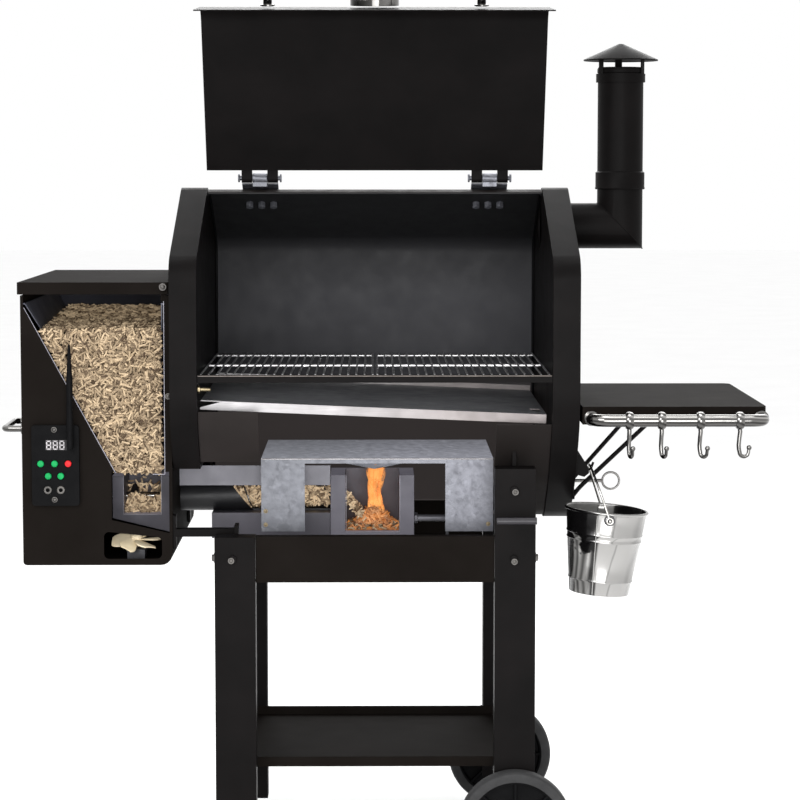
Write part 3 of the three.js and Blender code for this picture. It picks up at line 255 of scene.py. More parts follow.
def tray_steel():
    """Bright bent sheet; its upper faces are painted dark, a painted reflection of the dark chamber, and it
    darkens toward the right, painted shade.
    """
    m = Nodes("tray_steel")
    up = m.along("Z", m.add("ShaderNodeNewGeometry").outputs["Normal"])
    brushed = m.mix(m.span(m.noise(30, 5, (0.6, 1, 14)), 0, 1), srgb(168, 166, 167), srgb(146, 144, 145))
    # Painted shade: the sheet darkens toward the right.
    lip_painted_shade = m.mix(m.span(m.along("X"), 0, 1, -0.2, 0.12), brushed, srgb(118, 112, 111))
    # Painted reflection: faces that look up take a dark tone for the dark chamber mirrored in them.
    painted_dark_reflection = m.mix(m.span(m.noise(16, 6), 0, 1), srgb(84, 85, 88), srgb(112, 113, 116))
    factor = m.span(up, 0, 1, 0.55, 0.8)
    m.set(Base_Color=m.mix(factor, lip_painted_shade, painted_dark_reflection), Metallic=m.span(up, 0.45, 0.35, 0.55, 0.8))
    m.set(Roughness=m.span(m.noise(40, 4), 0.36, 0.5))
    m.bump(m.noise(300, 2, (0.5, 1, 8)), 0.08)
    return m.material


def auger_steel():
    """Feed tube in dark paint between the pale edge of its upper sheet and a duller lower one."""
    m = Nodes("auger_steel")
    height = m.along("Z")
    grain = m.span(m.noise(18, 5), 0, 1)
    pipe = m.mix(grain, srgb(26, 26, 28), srgb(34, 34, 36))
    lower = m.mix(grain, srgb(66, 64, 71), srgb(76, 74, 81))
    upper = m.mix(grain, srgb(108, 107, 114), srgb(122, 121, 128))
    body = m.mix(m.span(height, 0, 1, 0.5600, 0.5602), lower, pipe)
    m.set(Base_Color=m.mix(m.span(height, 0, 1, 0.6052, 0.6054), body, upper), Metallic=0.1)
    m.set(Roughness=m.span(m.noise(40, 5), 0.34, 0.46), Specular_IOR_Level=0.3)
    m.bump(m.noise(900, 2), 0.1)
    return m.material


def polished(name, dark, light, rough):
    """Shiny metal with faint handling marks."""
    m = Nodes(name)
    marks = m.span(m.noise(45, 6), 0, 1)
    m.set(Base_Color=m.mix(marks, srgb(*light), srgb(*dark)), Metallic=1.0)
    m.set(Roughness=m.span(m.noise(120, 4), rough, rough + 0.12))
    m.bump(m.noise(500, 2), 0.03, 0.0002)
    return m.material


def mirror(name, bands, slant=(0.25, 0.1, 0.95), rough=0.09, tint=(1.0, 0.985, 0.96), patch=None, metal=1.0,
           lift=0.0):
    """Bright metal whose tone runs in bands with the lie of the surface, like a room mirrored in it.

    `patch` is a height and a lie: above and left of them stands the dark reflection of the barrel.
    """
    m = Nodes(name)
    lie = m.vector_math("DOT_PRODUCT", m.normal(), slant, "Value")
    wavy = m.math("ADD", lie, m.span(m.noise(16, 3, (1, 1, 0.3)), -0.05, 0.05))
    ramp = m.add("ShaderNodeValToRGB", {"Fac": m.span(wavy, 0, 1, -1, 1)})
    ramp.color_ramp.interpolation = "EASE"
    while len(ramp.color_ramp.elements) < len(bands):
        ramp.color_ramp.elements.new(0.5)
    for stop, (place, tone) in zip(ramp.color_ramp.elements, bands):
        stop.position = (place + 1) / 2
        stop.color = (*(c * t for c, t in zip(srgb(tone, tone, tone), tint)), 1)
    tone = ramp.outputs["Color"]
    if patch:
        lowest, leftmost = patch
        ragged = m.math("ADD", m.along("Z"), m.span(m.noise(22, 4), -0.03, 0.03))
        above = m.span(ragged, 0, 1, lowest - 0.003, lowest + 0.003)
        aside = m.span(lie, 1, 0, leftmost - 0.04, leftmost + 0.04)
        tone = m.mix(m.math("MULTIPLY", above, aside), tone, srgb(20, 19, 20))
    # Emission of the tone, set by `lift`, is painted light.
    m.set(Base_Color=tone, Metallic=metal, Emission_Color=tone, Emission_Strength=lift)
    m.set(Roughness=m.span(m.noise(120, 4), rough, rough + 0.08))
    m.bump(m.noise(500, 2), 0.03, 0.0002)
    return m.material


def pellet_wood(name, low, high, fire_glow_and_painted_light=None, lift=0.0):
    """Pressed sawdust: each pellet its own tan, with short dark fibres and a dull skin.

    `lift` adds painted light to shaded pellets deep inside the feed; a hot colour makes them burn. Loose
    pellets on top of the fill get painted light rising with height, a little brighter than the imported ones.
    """
    m = Nodes(name)
    tone = m.add("ShaderNodeAttribute", attribute_name="tone").outputs["Fac"]
    fibre = m.span(m.noise(900, 4), 0, 1)
    base = m.mix(tone, srgb(*low), srgb(*high))
    m.set(Base_Color=m.mix(m.span(fibre, 0, 0.35, 0, 1), base, srgb(86, 66, 46)), Roughness=0.7)
    m.set(Specular_IOR_Level=0.35)
    # Painted light: emission of the pellet's own colour, set by `lift`, or rising with height on top of the
    # fill.
    if lift:
        m.set(Emission_Color=base, Emission_Strength=lift)
    elif not fire_glow_and_painted_light:
        m.set(Emission_Color=base, Emission_Strength=m.span(m.along("Z"), 0, 0.36, 0.868, 0.882))
    if fire_glow_and_painted_light:
        hot = m.span(m.noise(60, 3), 0, 1, 0.4, 0.68)
        m.set(Emission_Color=m.mix(hot, srgb(84, 40, 20), srgb(*fire_glow_and_painted_light)), Emission_Strength=0.55)
    m.bump(fibre, 0.35, 0.0004)
    return m.material


def flame_gas():
    """See-through burning gas: bright yellow core, orange edge, ragged holes."""
    m = Nodes("flame_gas")
    curl = m.noise(120, 6, (1, 1, 0.55), 0.65)
    height = m.along("Z")
    rise = m.span(height, 0, 1, 0.54, 0.64)
    colour = m.mix(m.span(curl, 0, 1, 0.4, 0.6), srgb(252, 226, 140), srgb(226, 128, 52))
    m.set(Base_Color=(0.8, 0.3, 0.1, 1), Emission_Color=m.mix(rise, colour, srgb(240, 168, 84)))
    m.set(Emission_Strength=0.58, Roughness=0.9, Specular_IOR_Level=0.0)
    body = m.span(m.noise(70, 5, (1, 1, 0.5)), 0.0, 0.8, 0.4, 0.58)
    fade = m.span(rise, 1, 0.8, 0, 1)
    m.set(Alpha=m.math("MULTIPLY", body, fade))
    return m.material


# Reflected tones, 0 to 255, against the lie of the surface from -1 to 1.
BUCKET_BANDS = (
    (-1, 60), (-0.9, 60), (-0.84, 176), (-0.76, 96), (-0.7, 176), (-0.6, 104), (-0.52, 172), (-0.38, 40),
    (-0.31, 46), (-0.24, 158), (0.08, 155), (0.12, 126), (0.16, 158), (0.6, 156), (0.75, 142), (0.9, 160),
    (1, 100),
)
CHROME_BANDS = (
    (-1, 26), (-0.6, 96), (-0.3, 50), (0.0, 128), (0.25, 104), (0.5, 182), (0.72, 58), (0.86, 176), (1, 130),
)

MATERIALS = {
    "black": paint("black_paint", (11, 10, 10), (17, 15, 15), (0.4, 0.46), 0.0, 12, bump=0.1, specular=0.035),
    "black_panel": paint("black_panel", (17, 14, 12), (22, 19, 17), (0.66, 0.7), 0.0, 10, specular=0.02),
    "chamber": chamber_steel(),
    "dark_steel": paint("dark_steel", (40, 40, 43), (62, 62, 66), (0.38, 0.56), 0.4, 22),
    # cut_steel: its faces that look up get painted light by emission.
    "cut_steel": paint("cut_steel", (84, 82, 90), (98, 96, 104), (0.4, 0.55), 0.1, 18, specular=0.25,
                       painted_top_light=0.8),
    "auger_steel": auger_steel(),
    "skin": paint("warm_skin", (32, 29, 28), (38, 34, 33), (0.44, 0.5), 0.0, 12, specular=0.06),
    "cut_edge": paint("cut_edge", (108, 107, 114), (132, 130, 138), (0.34, 0.46), 0.5, 60),
    # Thin light line on the front rail's top edge: a painted highlight.
    "painted_edge_highlight": paint("painted_edge_highlight", (92, 84, 80), (128, 120, 114), (0.35, 0.5), 0.3, 40),
    "galvanised": galvanised(),
    "tray": tray_steel(),
    "bright_steel": paint("bright_steel", (146, 144, 146), (182, 180, 182), (0.26, 0.4), 0.85, 30),
    "stainless": polished("stainless", (176, 174, 170), (214, 212, 208), 0.16),
    # The bucket's small emission is painted light on its shaded inside.
    "bucket": mirror("bucket_steel", BUCKET_BANDS, (1, 0, 0.1), 0.14, patch=(0.527, -0.34), metal=0.6,
                     lift=0.06),
    "grate": polished("grate_wire", (160, 158, 158), (240, 239, 240), 0.24),
    "chrome": mirror("chrome", CHROME_BANDS, tint=(1.0, 0.975, 0.94)),
    "screw": paint("screw_head", (64, 62, 60), (90, 87, 84), (0.34, 0.46), 0.5, 60, bump=0.04),
    "brass": polished("brass", (104, 92, 70), (140, 128, 102), 0.3),
    "rivet": paint("rivet_head", (96, 84, 64), (130, 116, 90), (0.4, 0.5), 0.3, 60, bump=0.05),
    # Pellets high on the fill get a painted highlight: an emission rising with height.
    "pellets": pellet_wood("pellet_wood", (60, 44, 29), (205, 182, 149)),
    # Lighter copy of the pellet colours with painted light, for the pellets in the shaded feed box.
    "fed_pellets_painted_light": pellet_wood("fed_pellets_painted_light", (70, 52, 36), (222, 198, 164), lift=0.45),
    "embers": pellet_wood("ember_wood", (112, 74, 50), (214, 160, 112), (236, 150, 74)),
    "funnel": paint("funnel_sheet", (82, 83, 93), (96, 97, 107), (0.42, 0.56), 0.1, 16, specular=0.3),
    "igniter": paint("igniter_sheath", (66, 66, 71), (96, 95, 101), (0.3, 0.42), 0.5, 40),
    "flame": flame_gas(),
    "bead": paint("fold_bead", (34, 32, 36), (46, 44, 48), (0.3, 0.4), 0.1, 30, specular=0.4),
    "green": paint("green_button", (6, 122, 62), (14, 146, 78), (0.36, 0.46), 0, 60, specular=0.15),
    "red": paint("red_button", (178, 30, 36), (204, 40, 44), (0.36, 0.46), 0, 60, specular=0.15),
    "plastic": paint("black_plastic", (8, 8, 9), (13, 13, 14), (0.44, 0.56), 0, 40, bump=0.2, specular=0.04),
    "rotor": paint("rotor_plastic", (214, 196, 160), (238, 224, 194), (0.5, 0.65), 0, 40, bump=0.2),
    "rubber": paint("wheel_rubber", (26, 26, 27), (38, 38, 39), (0.7, 0.85), 0, 30, bump=0.3),
    "rod": paint("rod_steel", (110, 108, 106), (170, 168, 166), (0.25, 0.4), 0.6, 40),
    "dial": paint("dial_face", (226, 224, 216), (238, 236, 230), (0.4, 0.5), 0, 40, bump=0.02),
    "display": paint("display_glass", (14, 12, 14), (22, 18, 20), (0.08, 0.14), 0, 30, bump=0.0),
    "ink": paint("dial_ink", (22, 22, 24), (34, 34, 36), (0.5, 0.6), 0, 40, bump=0.02),
    "needle": paint("needle_red", (176, 30, 30), (196, 44, 40), (0.35, 0.45), 0, 50, bump=0.02),
    "lamp": paint("digit_lamp", (150, 146, 148), (176, 172, 174), (0.4, 0.5), 0, 60, bump=0.0),
}


# ---- Mesh helpers ----
def piece(name, body, material, *shapes, stands_for=(), slot=None, smooth=35):
    """Mesh object of one or more shapes that rides on a CAD body.

    A shape is its points and its faces. Edges sharper than `smooth` degrees stay crisp.
    """
    points, faces = merged(*shapes)
    mesh = bpy.data.meshes.new(name)
    mesh.from_pydata([tuple(p) for p in points], [], [tuple(f) for f in faces])
    mesh.validate()
    mesh.shade_smooth()
    mesh.set_sharp_from_angle(angle=math.radians(smooth))
    mesh.materials.append(MATERIALS[material])
    made = bpy.data.objects.new(name, mesh)
    bpy.context.scene.collection.objects.link(made)
    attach(made, body)
    if stands_for:
        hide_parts(*stands_for)
    return made


def merged(*parts):
    """Several (points, faces) shapes as one."""
    points, faces = [], []
    for more_points, more_faces in parts:
        base = len(points)
        points.extend(more_points)
        faces.extend(tuple(i + base for i in face) for face in more_faces)
    return points, faces


def moved(shape, matrix):
    return [matrix @ Vector(p) for p in shape[0]], shape[1]


def placed(shape, where, angle=0.0, axis="Z", scale=1.0):
    """Shape scaled, then turned about an axis, then carried to its place."""
    return moved(shape, Matrix.Translation(where) @ Matrix.Rotation(angle, 4, axis) @ Matrix.Scale(scale, 4))


def swung(pivot, degrees, axis):
    """Turn about an axis through a pivot."""
    turn = Matrix.Rotation(math.radians(degrees), 4, axis)
    return Matrix.Translation(pivot) @ turn @ Matrix.Translation(-pivot)


def on_plane(x, depth, z):
    """Point with x and z in millimetres from the drawing origin and its depth in metres."""
    return Vector((at(x, 0, 0).x, depth, at(0, 0, z).z))


def around(count):
    """Evenly spaced angles of a full turn."""
    return [2 * math.pi * k / count for k in range(count)]


def belt(first, second, sides):
    """Faces between two rings of points, given the number of the first point of each."""
    return [(first + k, first + (k + 1) % sides, second + (k + 1) % sides, second + k) for k in range(sides)]


def tube(route, radius, sides=12, closed=False, end_radius=None):
    """Round wire along a route of points."""
    route = [Vector(p) for p in route]
    count = len(route)
    normal = Vector((0.31, 0.52, 0.79))
    points, faces = [], []
    for i, here in enumerate(route):
        ahead = route[(i + 1) % count] if closed else route[min(i + 1, count - 1)]
        behind = route[i - 1] if closed or i else route[0]
        tangent = (ahead - behind).normalized()
        normal = (normal - tangent * normal.dot(tangent)).normalized()
        side = tangent.cross(normal)
        size = radius if end_radius is None else radius + (end_radius - radius) * i / (count - 1)
        points += [here + (normal * math.cos(a) + side * math.sin(a)) * size for a in around(sides)]
        if closed or i < count - 1:
            faces += belt(i * sides, (i + 1) % count * sides, sides)
    if not closed:
        faces.append(tuple(range(sides))[::-1])
        faces.append(tuple(range((count - 1) * sides, count * sides)))
    return points, faces


def bent(corners, radius, steps=8):
    """Route with its inner corners rounded."""
    corners = [Vector(c) for c in corners]
    route = [corners[0]]
    for before, here, after in zip(corners, corners[1:], corners[2:]):
        start = here + (before - here).normalized() * radius
        end = here + (after - here).normalized() * radius
        for k in range(steps + 1):
            t = k / steps
            route.append(start * (1 - t) ** 2 + here * 2 * t * (1 - t) + end * t ** 2)
    return route + [corners[-1]]


def lathe(profile, sides=64):
    """Body of revolution about z; the profile is (radius, z), closed on the axis or on itself."""
    ring = profile[0] == profile[-1]
    rows = len(profile) - 1 if ring else len(profile)
    points = [Vector((r * math.cos(a), r * math.sin(a), z)) for r, z in profile[:rows] for a in around(sides)]
    bands = range(rows if ring else rows - 1)
    return points, [face for i in bands for face in belt(i * sides, (i + 1) % rows * sides, sides)]


def lathe_mm(profile, sides=64):
    """Body of revolution whose profile is in millimetres."""
    return lathe([(radius * MM, z * MM) for radius, z in profile], sides)


BOX_FACES = [(0, 1, 3, 2), (4, 6, 7, 5), (0, 4, 5, 1), (2, 3, 7, 6), (0, 2, 6, 4), (1, 5, 7, 3)]
SLAB_FACES = [(3, 2, 1, 0), (4, 5, 6, 7), *belt(0, 4, 4)]  # lower outline first, then the upper one


def block(low, high, chamfer=0.0):
    """Box between two corners with chamfered edges."""
    low, high = Vector(low), Vector(high)
    if not chamfer:
        xs, ys, zs = zip(low, high)
        return [Vector((x, y, z)) for x in xs for y in ys for z in zs], BOX_FACES
    rows = []
    for z, cut in ((low.z, chamfer), (low.z + chamfer, 0), (high.z - chamfer, 0), (high.z, chamfer)):
        x0, x1, y0, y1 = low.x + cut, high.x - cut, low.y + cut, high.y - cut
        c = chamfer * (0.6 if cut else 1)
        rows.append([(x0 + c, y0), (x1 - c, y0), (x1, y0 + c), (x1, y1 - c), (x1 - c, y1), (x0 + c, y1),
                     (x0, y1 - c), (x0, y0 + c)])
        rows[-1] = [Vector((x, y, z)) for x, y in rows[-1]]
    points = [p for row in rows for p in row]
    faces = [tuple(range(8))[::-1], tuple(range(24, 32))]
    for first in (0, 8, 16):
        faces += belt(first, first + 8, 8)
    return points, faces


FORWARD = (0, -1, 0)


def bolt_head(where, direction, radius, height, sides=6):
    """Domed or hexagon head with a washer, standing on a face."""
    r, h = radius, height
    hexagon = [(0, h), (r * 0.86, h), (r, h * 0.8), (r, h * 0.3)]
    dome = [(0, h), (r * 0.5, h * 0.93), (r * 0.86, h * 0.62), (r, h * 0.25)]
    head = lathe(hexagon if sides == 6 else dome, sides)
    washer = lathe([(0, h * 0.3), (r * 1.35, h * 0.3), (r * 1.4, h * 0.15), (r * 1.4, 0)], 24)
    turn = Vector((0, 0, 1)).rotation_difference(Vector(direction)).to_matrix().to_4x4()
    return moved(merged(head, washer), Matrix.Translation(where) @ turn)


def dress(node, material):
    """Gives a CAD node its finish, soft edges and smooth round faces."""
    thing = nodes[node]
    thing.data.materials.clear()
    thing.data.materials.append(MATERIALS[material])
    thing.data.polygons.foreach_set("use_smooth", [True] * len(thing.data.polygons))
    weld = thing.modifiers.new("weld", "WELD")
    weld.merge_threshold = 0.00002
    soft = thing.modifiers.new("soft_edges", "BEVEL")
    soft.width = 0.0006
    soft.segments = 2
    soft.limit_method = "ANGLE"
    soft.angle_limit = math.radians(32)
    even = thing.modifiers.new("even_normals", "WEIGHTED_NORMAL")
    even.weight = 100
    even.keep_sharp = True


# ---- CAD nodes that keep their shape ----
KEPT = {
    "black": ["end_cap_left", "end_cap_right", "grease_spout", "leg_frame_left",
              "leg_frame_right", "shelf_brace_front", "shelf_brace_rear", "lid_shell",
              "front_rail"],
    "black_panel": ["hopper_case", "hopper_lid", "side_shelf", "apron_front", "apron_rear", "bottom_shelf"],
    "chamber": ["barrel_shell"],
    "dark_steel": ["auger_motor", "fan_motor", "ash_cup"],
    "funnel": ["hopper_funnel"],
    "cut_steel": ["feed_box", "burn_cup"],
    "auger_steel": ["auger_tube"],
    "skin": ["front_skin_left"],
    "igniter": ["igniter_rod"],
    "galvanised": ["heat_baffle", "lid_hinge_left", "lid_hinge_right", "flame_deflector"],
    "tray": ["drip_tray"],
    "brass": ["temperature_probe"],
    "plastic": ["controller_panel"],
}
for material_name, group in KEPT.items():
    for node_name in group:
        dress(node_name, material_name)


# ---- Grates: round wires in a frame ----
WIRE_PITCH = 0.0127


def grate(name, node):
    low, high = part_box(node)
    wire, rib = 0.0016, 0.0024
    top, foot = high.z - wire, high.z - wire - 0.003
    front, back = low.y + 0.0006, high.y - 0.0006
    spaces = round((high.x - low.x) / WIRE_PITCH)
    parts = []
    for k in range(spaces + 1):
        x = low.x + wire + (high.x - low.x - 2 * wire) * k / spaces
        parts.append(tube(bent([(x, front, foot), (x, front, top), (x, back, top), (x, back, foot)], 0.002, 3),
                          wire, 8))
    under = top - wire - rib * 0.7
    for share in (0.007, 0.5, 0.993):
        y = low.y + (high.y - low.y) * share
        parts.append(tube([(low.x + 0.001, y, under), (high.x - 0.001, y, under)], rib, 10))
    piece(name, "grill", "grate", *parts, stands_for=[node], slot="stainless")


grate("grate_left_wires", "grate_left")
grate("grate_right_wires", "grate_right")


# ---- Auger: smooth screw flight on its shaft ----
def auger():
    low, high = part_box("auger_screw")
    start, y, z = at(-408, AUGER_Y, AUGER_Z)
    end = high.x - 0.002
    pitch, outer, inner, half = 0.044, 0.0205, 0.0052, 0.0013
    steps = int((end - start) / pitch * 40)
    points, faces = [], []
    for i in range(steps + 1):
        angle = (end - start) / pitch * 2 * math.pi * i / steps
        x = start + (end - start) * i / steps
        for radius, side in ((inner, -1), (outer - 0.0006, -1), (outer, 0), (outer - 0.0006, 1), (inner, 1)):
            points.append((x + side * half, y + radius * math.cos(angle), z + radius * math.sin(angle)))
        if i < steps:
            faces += [(i * 5 + k, i * 5 + k + 1, i * 5 + k + 6, i * 5 + k + 5) for k in range(4)]
    shaft = tube([(low.x, y, z), (high.x, y, z)], 0.006, 28)
    bolt = tube([(low.x + 0.02, y - 0.009, z), (low.x + 0.02, y + 0.009, z)], 0.0022, 12)
    piece("auger_flight", "auger", "stainless", (points, faces), shaft, bolt,
          stands_for=["auger_screw"], slot="stainless", smooth=50)


auger()


# ---- Loose pellets ----
PELLET_SIDES, PELLET_RADIUS, PELLET_LENGTHS = 6, 0.0015, (0.0085, 0.0138)


def pellet(length):
    """One pellet: a short round stick with uneven, slightly rounded ends."""
    rows = [(-0.5, 0.7), (-0.44, 1.0), (0.44, 1.0), (0.5, 0.7)]
    sides = PELLET_SIDES
    points, faces = [], []
    for i, (share, size) in enumerate(rows):
        for a in around(sides):
            skew = rng.uniform(-0.04, 0.04) if i in (0, 3) else 0
            x, reach = (share + skew) * length, PELLET_RADIUS * size
            points.append(Vector((x, reach * math.cos(a), reach * math.sin(a))))
        if i:
            faces += belt((i - 1) * sides, i * sides, sides)
    faces += [tuple(range(sides))[::-1], tuple(range(3 * sides, 4 * sides))]
    return points, faces


def strew(count, place, turn):
    """Pellets at places given by place(), each turned by turn()."""
    return merged(*(moved(pellet(rng.uniform(*PELLET_LENGTHS)), Matrix.Translation(place()) @ turn())
                    for _ in range(count)))


def facing(axis, spread):
    """Any heading round an axis, with the pellet nearly square to that axis."""
    def turn():
        heading = Matrix.Rotation(rng.uniform(0, 2 * math.pi), 4, axis)
        return heading @ Matrix.Rotation(rng.uniform(-spread, spread), 4, "Y" if axis == "Z" else "Z")
    return turn


def pellet_piece(name, material, shape, core=None, **links):
    """Pellets as one mesh; every pellet carries its own tone, the core below them the darkest: painted shade
    in the gaps between pellets.
    """
    shapes = [shape, core] if core else [shape]
    made = piece(name, "grill", material, *shapes, smooth=50, **links)
    per_pellet = 3 * PELLET_SIDES + 2
    tones = np.repeat([rng.random() for _ in range(len(shape[1]) // per_pellet)], per_pellet)
    # The core takes tone 0, the darkest colour: painted shade.
    tones = np.concatenate([tones, np.zeros(len(made.data.polygons) - len(tones))])
    made.data.attributes.new("tone", "FLOAT", "FACE").data.foreach_set("value", tones.astype(np.float32))
    return made


def funnel_span(z):
    """Inside of the funnel at a height: its low and high corners."""
    low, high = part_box("pellet_load")
    share = (z - low.z) / (high.z - low.z)
    bottom, top = (at(-409, 66, 0), at(-353, 282, 0)), (low, high - Vector((0.0027, 0, 0)))
    return [corner.lerp(Vector((end.x, end.y, 0)), share) for corner, end in zip(bottom, top)]


def pellet_pile():
    """Cut face and top of the fill as separate pellets over a dark core, painted shade between them."""
    low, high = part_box("pellet_load")
    front = low.y

    def face_place():
        while True:
            x, z = rng.uniform(low.x, high.x), rng.uniform(low.z, high.z)
            if x > funnel_span(z)[0].x - 0.001:
                return Vector((x - 0.0012, front + rng.uniform(-0.001, 0.009), z - 0.001))

    def top_place():
        a, b = funnel_span(high.z)
        far = rng.random() ** 0.8
        return Vector((rng.uniform(a.x + 0.004, b.x - 0.003), front + (b.y - front - 0.005) * far,
                       high.z + rng.uniform(-0.005, 0.002) + 0.017 * far))

    def lip_place():
        a = funnel_span(low.z)[0]
        return Vector((rng.uniform(a.x + 0.002, high.x - 0.003), front + rng.uniform(0, 0.008),
                       low.z - rng.uniform(0, 0.006)))

    shape = merged(strew(4300, face_place, facing("Y", 0.3)), strew(3200, top_place, facing("Z", 0.4)),
                   strew(40, lip_place, facing("Y", 0.6)))
    bodies = []
    for right, back in ((None, None), (high.x - 0.001, front + 0.018)):
        core = []
        for z in (low.z, high.z - 0.004):
            a, b = funnel_span(z)
            x, y = right or b.x, back or b.y
            core += [Vector((a.x, front + 0.007, z)), Vector((x, front + 0.007, z)), Vector((x, y, z)),
                     Vector((a.x, y, z))]
        bodies.append((core, SLAB_FACES))
    pellet_piece("pellet_pile", "pellets", shape, merged(*bodies), stands_for=["pellet_load"], slot="pellets")


def feed_pellets():
    """Pellets falling into the feed box, lying round the auger and carried along the tube."""
    def falling():
        return at(rng.gauss(-378, 13), rng.uniform(206, 240), 602 + 44 * rng.random() ** 0.5)

    def in_box():
        x = rng.uniform(-410, -352)
        return at(x, rng.uniform(221, 232), rng.uniform(560, 584 + 5 * math.sin(x * 0.14)))

    def behind():
        return at(rng.uniform(-410, -352), rng.uniform(272, 292), rng.uniform(560, 600))

    def in_tube():
        angle, reach = rng.uniform(-0.4, math.pi + 0.4), rng.uniform(8, 15.5)
        x = rng.uniform(-238, -76)
        return at(x, AUGER_Y - reach * math.sin(angle), AUGER_Z + reach * math.cos(angle))

    def slope():
        x = rng.uniform(-46, -16)
        fall = (x + 46) / 30
        return at(x, rng.uniform(210, 262), 592 - 42 * fall - rng.uniform(0, 16 - 8 * fall))

    shape = merged(strew(22, falling, facing("Y", 1.2)), strew(300, in_box, facing("Y", 0.5)),
                   strew(110, behind, facing("Y", 0.5)), strew(760, in_tube, facing("Y", 0.5)),
                   strew(150, slope, facing("Y", 0.6)))
    pellet_piece("feed_pellets", "fed_pellets_painted_light", shape, slot="pellets")


def fire():
    """Burning heap on the burn cup floor and the narrow flame that rises from it."""
    low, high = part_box("ember_bed")
    middle = at(-1, 0, 0).x
    core = block((low.x, low.y - 0.01, low.z), (high.x, high.y, low.z + 0.004), 0.001)

    def heap(spread, peak):
        def place():
            off = rng.gauss(0, spread)
            x = min(max(middle + off, low.x + 0.003), high.x - 0.003)
            top = 0.005 + peak * max(0.0, 1 - abs(x - middle) / 0.034) ** 1.1
            y = rng.uniform(low.y - 0.014, high.y - 0.008)
            return Vector((x, y, low.z + 0.002 + top * rng.random() ** 0.45))
        return place

    def bed():
        return Vector((rng.uniform(low.x + 0.002, high.x - 0.002), rng.uniform(low.y - 0.014, high.y - 0.006),
                       low.z + 0.003 + rng.uniform(0, 0.008)))

    pellet_piece("ember_pile", "embers", strew(560, heap(0.017, 0.034), facing("Y", 0.6)), core,
                 stands_for=["ember_bed"], slot="embers")
    pellet_piece("ash_pellets", "pellets", strew(240, bed, facing("Z", 0.4)), slot="pellets")
    tongues = []
    for x, y, width, height, lean, base in ((0, 242, 15, 88, 1, 547), (-1, 238, 13, 86, 2, 548),
                                            (1, 233, 9, 84, -2, 550), (0, 228, 5, 78, 2, 554)):
        rows, sides = 22, 20
        points, faces = [], []
        for i in range(rows):
            up = i / (rows - 1)
            size = 0.86 + 0.14 * math.cos(up * 7 + x)
            size *= min(1, (1 - up) * 14 + 0.4)
            sway = lean * up + 1.4 * math.sin(up * 8 + x) * up
            for a in around(sides):
                reach = width * size * (1 + 0.16 * math.sin(3 * a + up * 11 + x))
                out, back = reach * math.cos(a), 0.7 * reach * math.sin(a)
                points.append(at(x + sway + out, y + back, base + height * up))
            if i:
                faces += belt((i - 1) * sides, i * sides, sides)
        tongues.append((points, faces))
    piece("flame_tongues", "grill", "flame", *tongues, slot="embers", smooth=80)


pellet_pile()
feed_pellets()
fire()


# ---- Chimney: mitred elbow, socketed stack, coned cap ----
def chimney():
    x, y, z, radius, wall = 411, 340, 1027, 38, 1.6
    start, joint, sides = 320.6, 1110, 72
    points, faces = [], []
    for reach, flip in ((radius, 1), (radius - wall, -1)):
        base = len(points)
        for ring in range(3):
            for a in around(sides):
                off = reach * math.sin(a)
                along, up = x - off if ring else start, z + off if ring < 2 else joint
                points.append(at(along, y + reach * math.cos(a), up))
        for first in (base, base + sides):
            faces += [face[::flip] for face in belt(first, first + sides, sides)]
    faces += belt(2 * sides, 5 * sides, sides)
    bead = radius + 0.1
    seam = [at(x - bead * math.sin(a), y + bead * math.cos(a), z + bead * math.sin(a)) for a in around(96)]
    rim = [(radius - 1, 0), (radius + 11, 0), (radius + 12, 1), (radius + 12, 3), (radius - 1, 3.4)]
    flange = placed(lathe(rim, sides), at(start, y, z), math.pi / 2, "Y", MM)
    spots = [at(324, y + 45.5 * math.cos(a), z + 45.5 * math.sin(a)) for a in (0.9, 2.2, 4.0, 5.4)]
    screws = [bolt_head(spot, (1, 0, 0), 0.0028, 0.0022, 16) for spot in spots]
    piece("elbow_pipe", "grill", "black", (points, faces), tube(seam, 0.0009, 8, closed=True), flange,
          stands_for=["chimney_elbow"], slot="black", smooth=30)
    piece("elbow_screws", "grill", "chrome", *screws, slot="bright_steel")
    stack = [(38, 1110.4), (38, 1290), (37.4, 1290.8), (36.4, 1290), (36.4, 1110.4), (38, 1110.4)]
    collar = [(38.1, 1088), (41, 1088), (41.8, 1090), (41, 1092), (41, 1116), (38, 1118.5), (38.1, 1088)]
    hem = [(38, 1281), (39, 1282), (39, 1288), (38, 1289), (38, 1281)]
    pipe = placed(merged(*(lathe_mm(profile, sides) for profile in (stack, collar, hem))), at(x, y, 0))
    piece("stack_pipe", "grill", "black", pipe, stands_for=["chimney_stack"], slot="black", smooth=30)
    cone = [(0, 1330), (4, 1329.6), (60, 1304.6), (62, 1303.6), (62, 1301.6), (60.6, 1301.6), (60, 1302.6),
            (0, 1326.5)]
    ring = [(38.6, 1266), (41, 1266), (41, 1280), (38.6, 1280), (38.6, 1266)]
    straps = [moved(block((38.8, -6, 1272), (40.6, 6, 1311), 0.3), Matrix.Rotation(math.pi / 2 + a, 4, "Z"))
              for a in around(3)]
    top = placed(merged(lathe(cone, sides), lathe(ring, sides), *straps), at(x, y, 0), scale=MM)
    piece("cap_cone", "grill", "black", top, stands_for=["chimney_cap"], slot="black", smooth=30)


# ---- Lid fittings, drawn closed and opened with the lid ----
OPEN = swung(at(*LID_PIVOT), -LID_OPENING, "X")


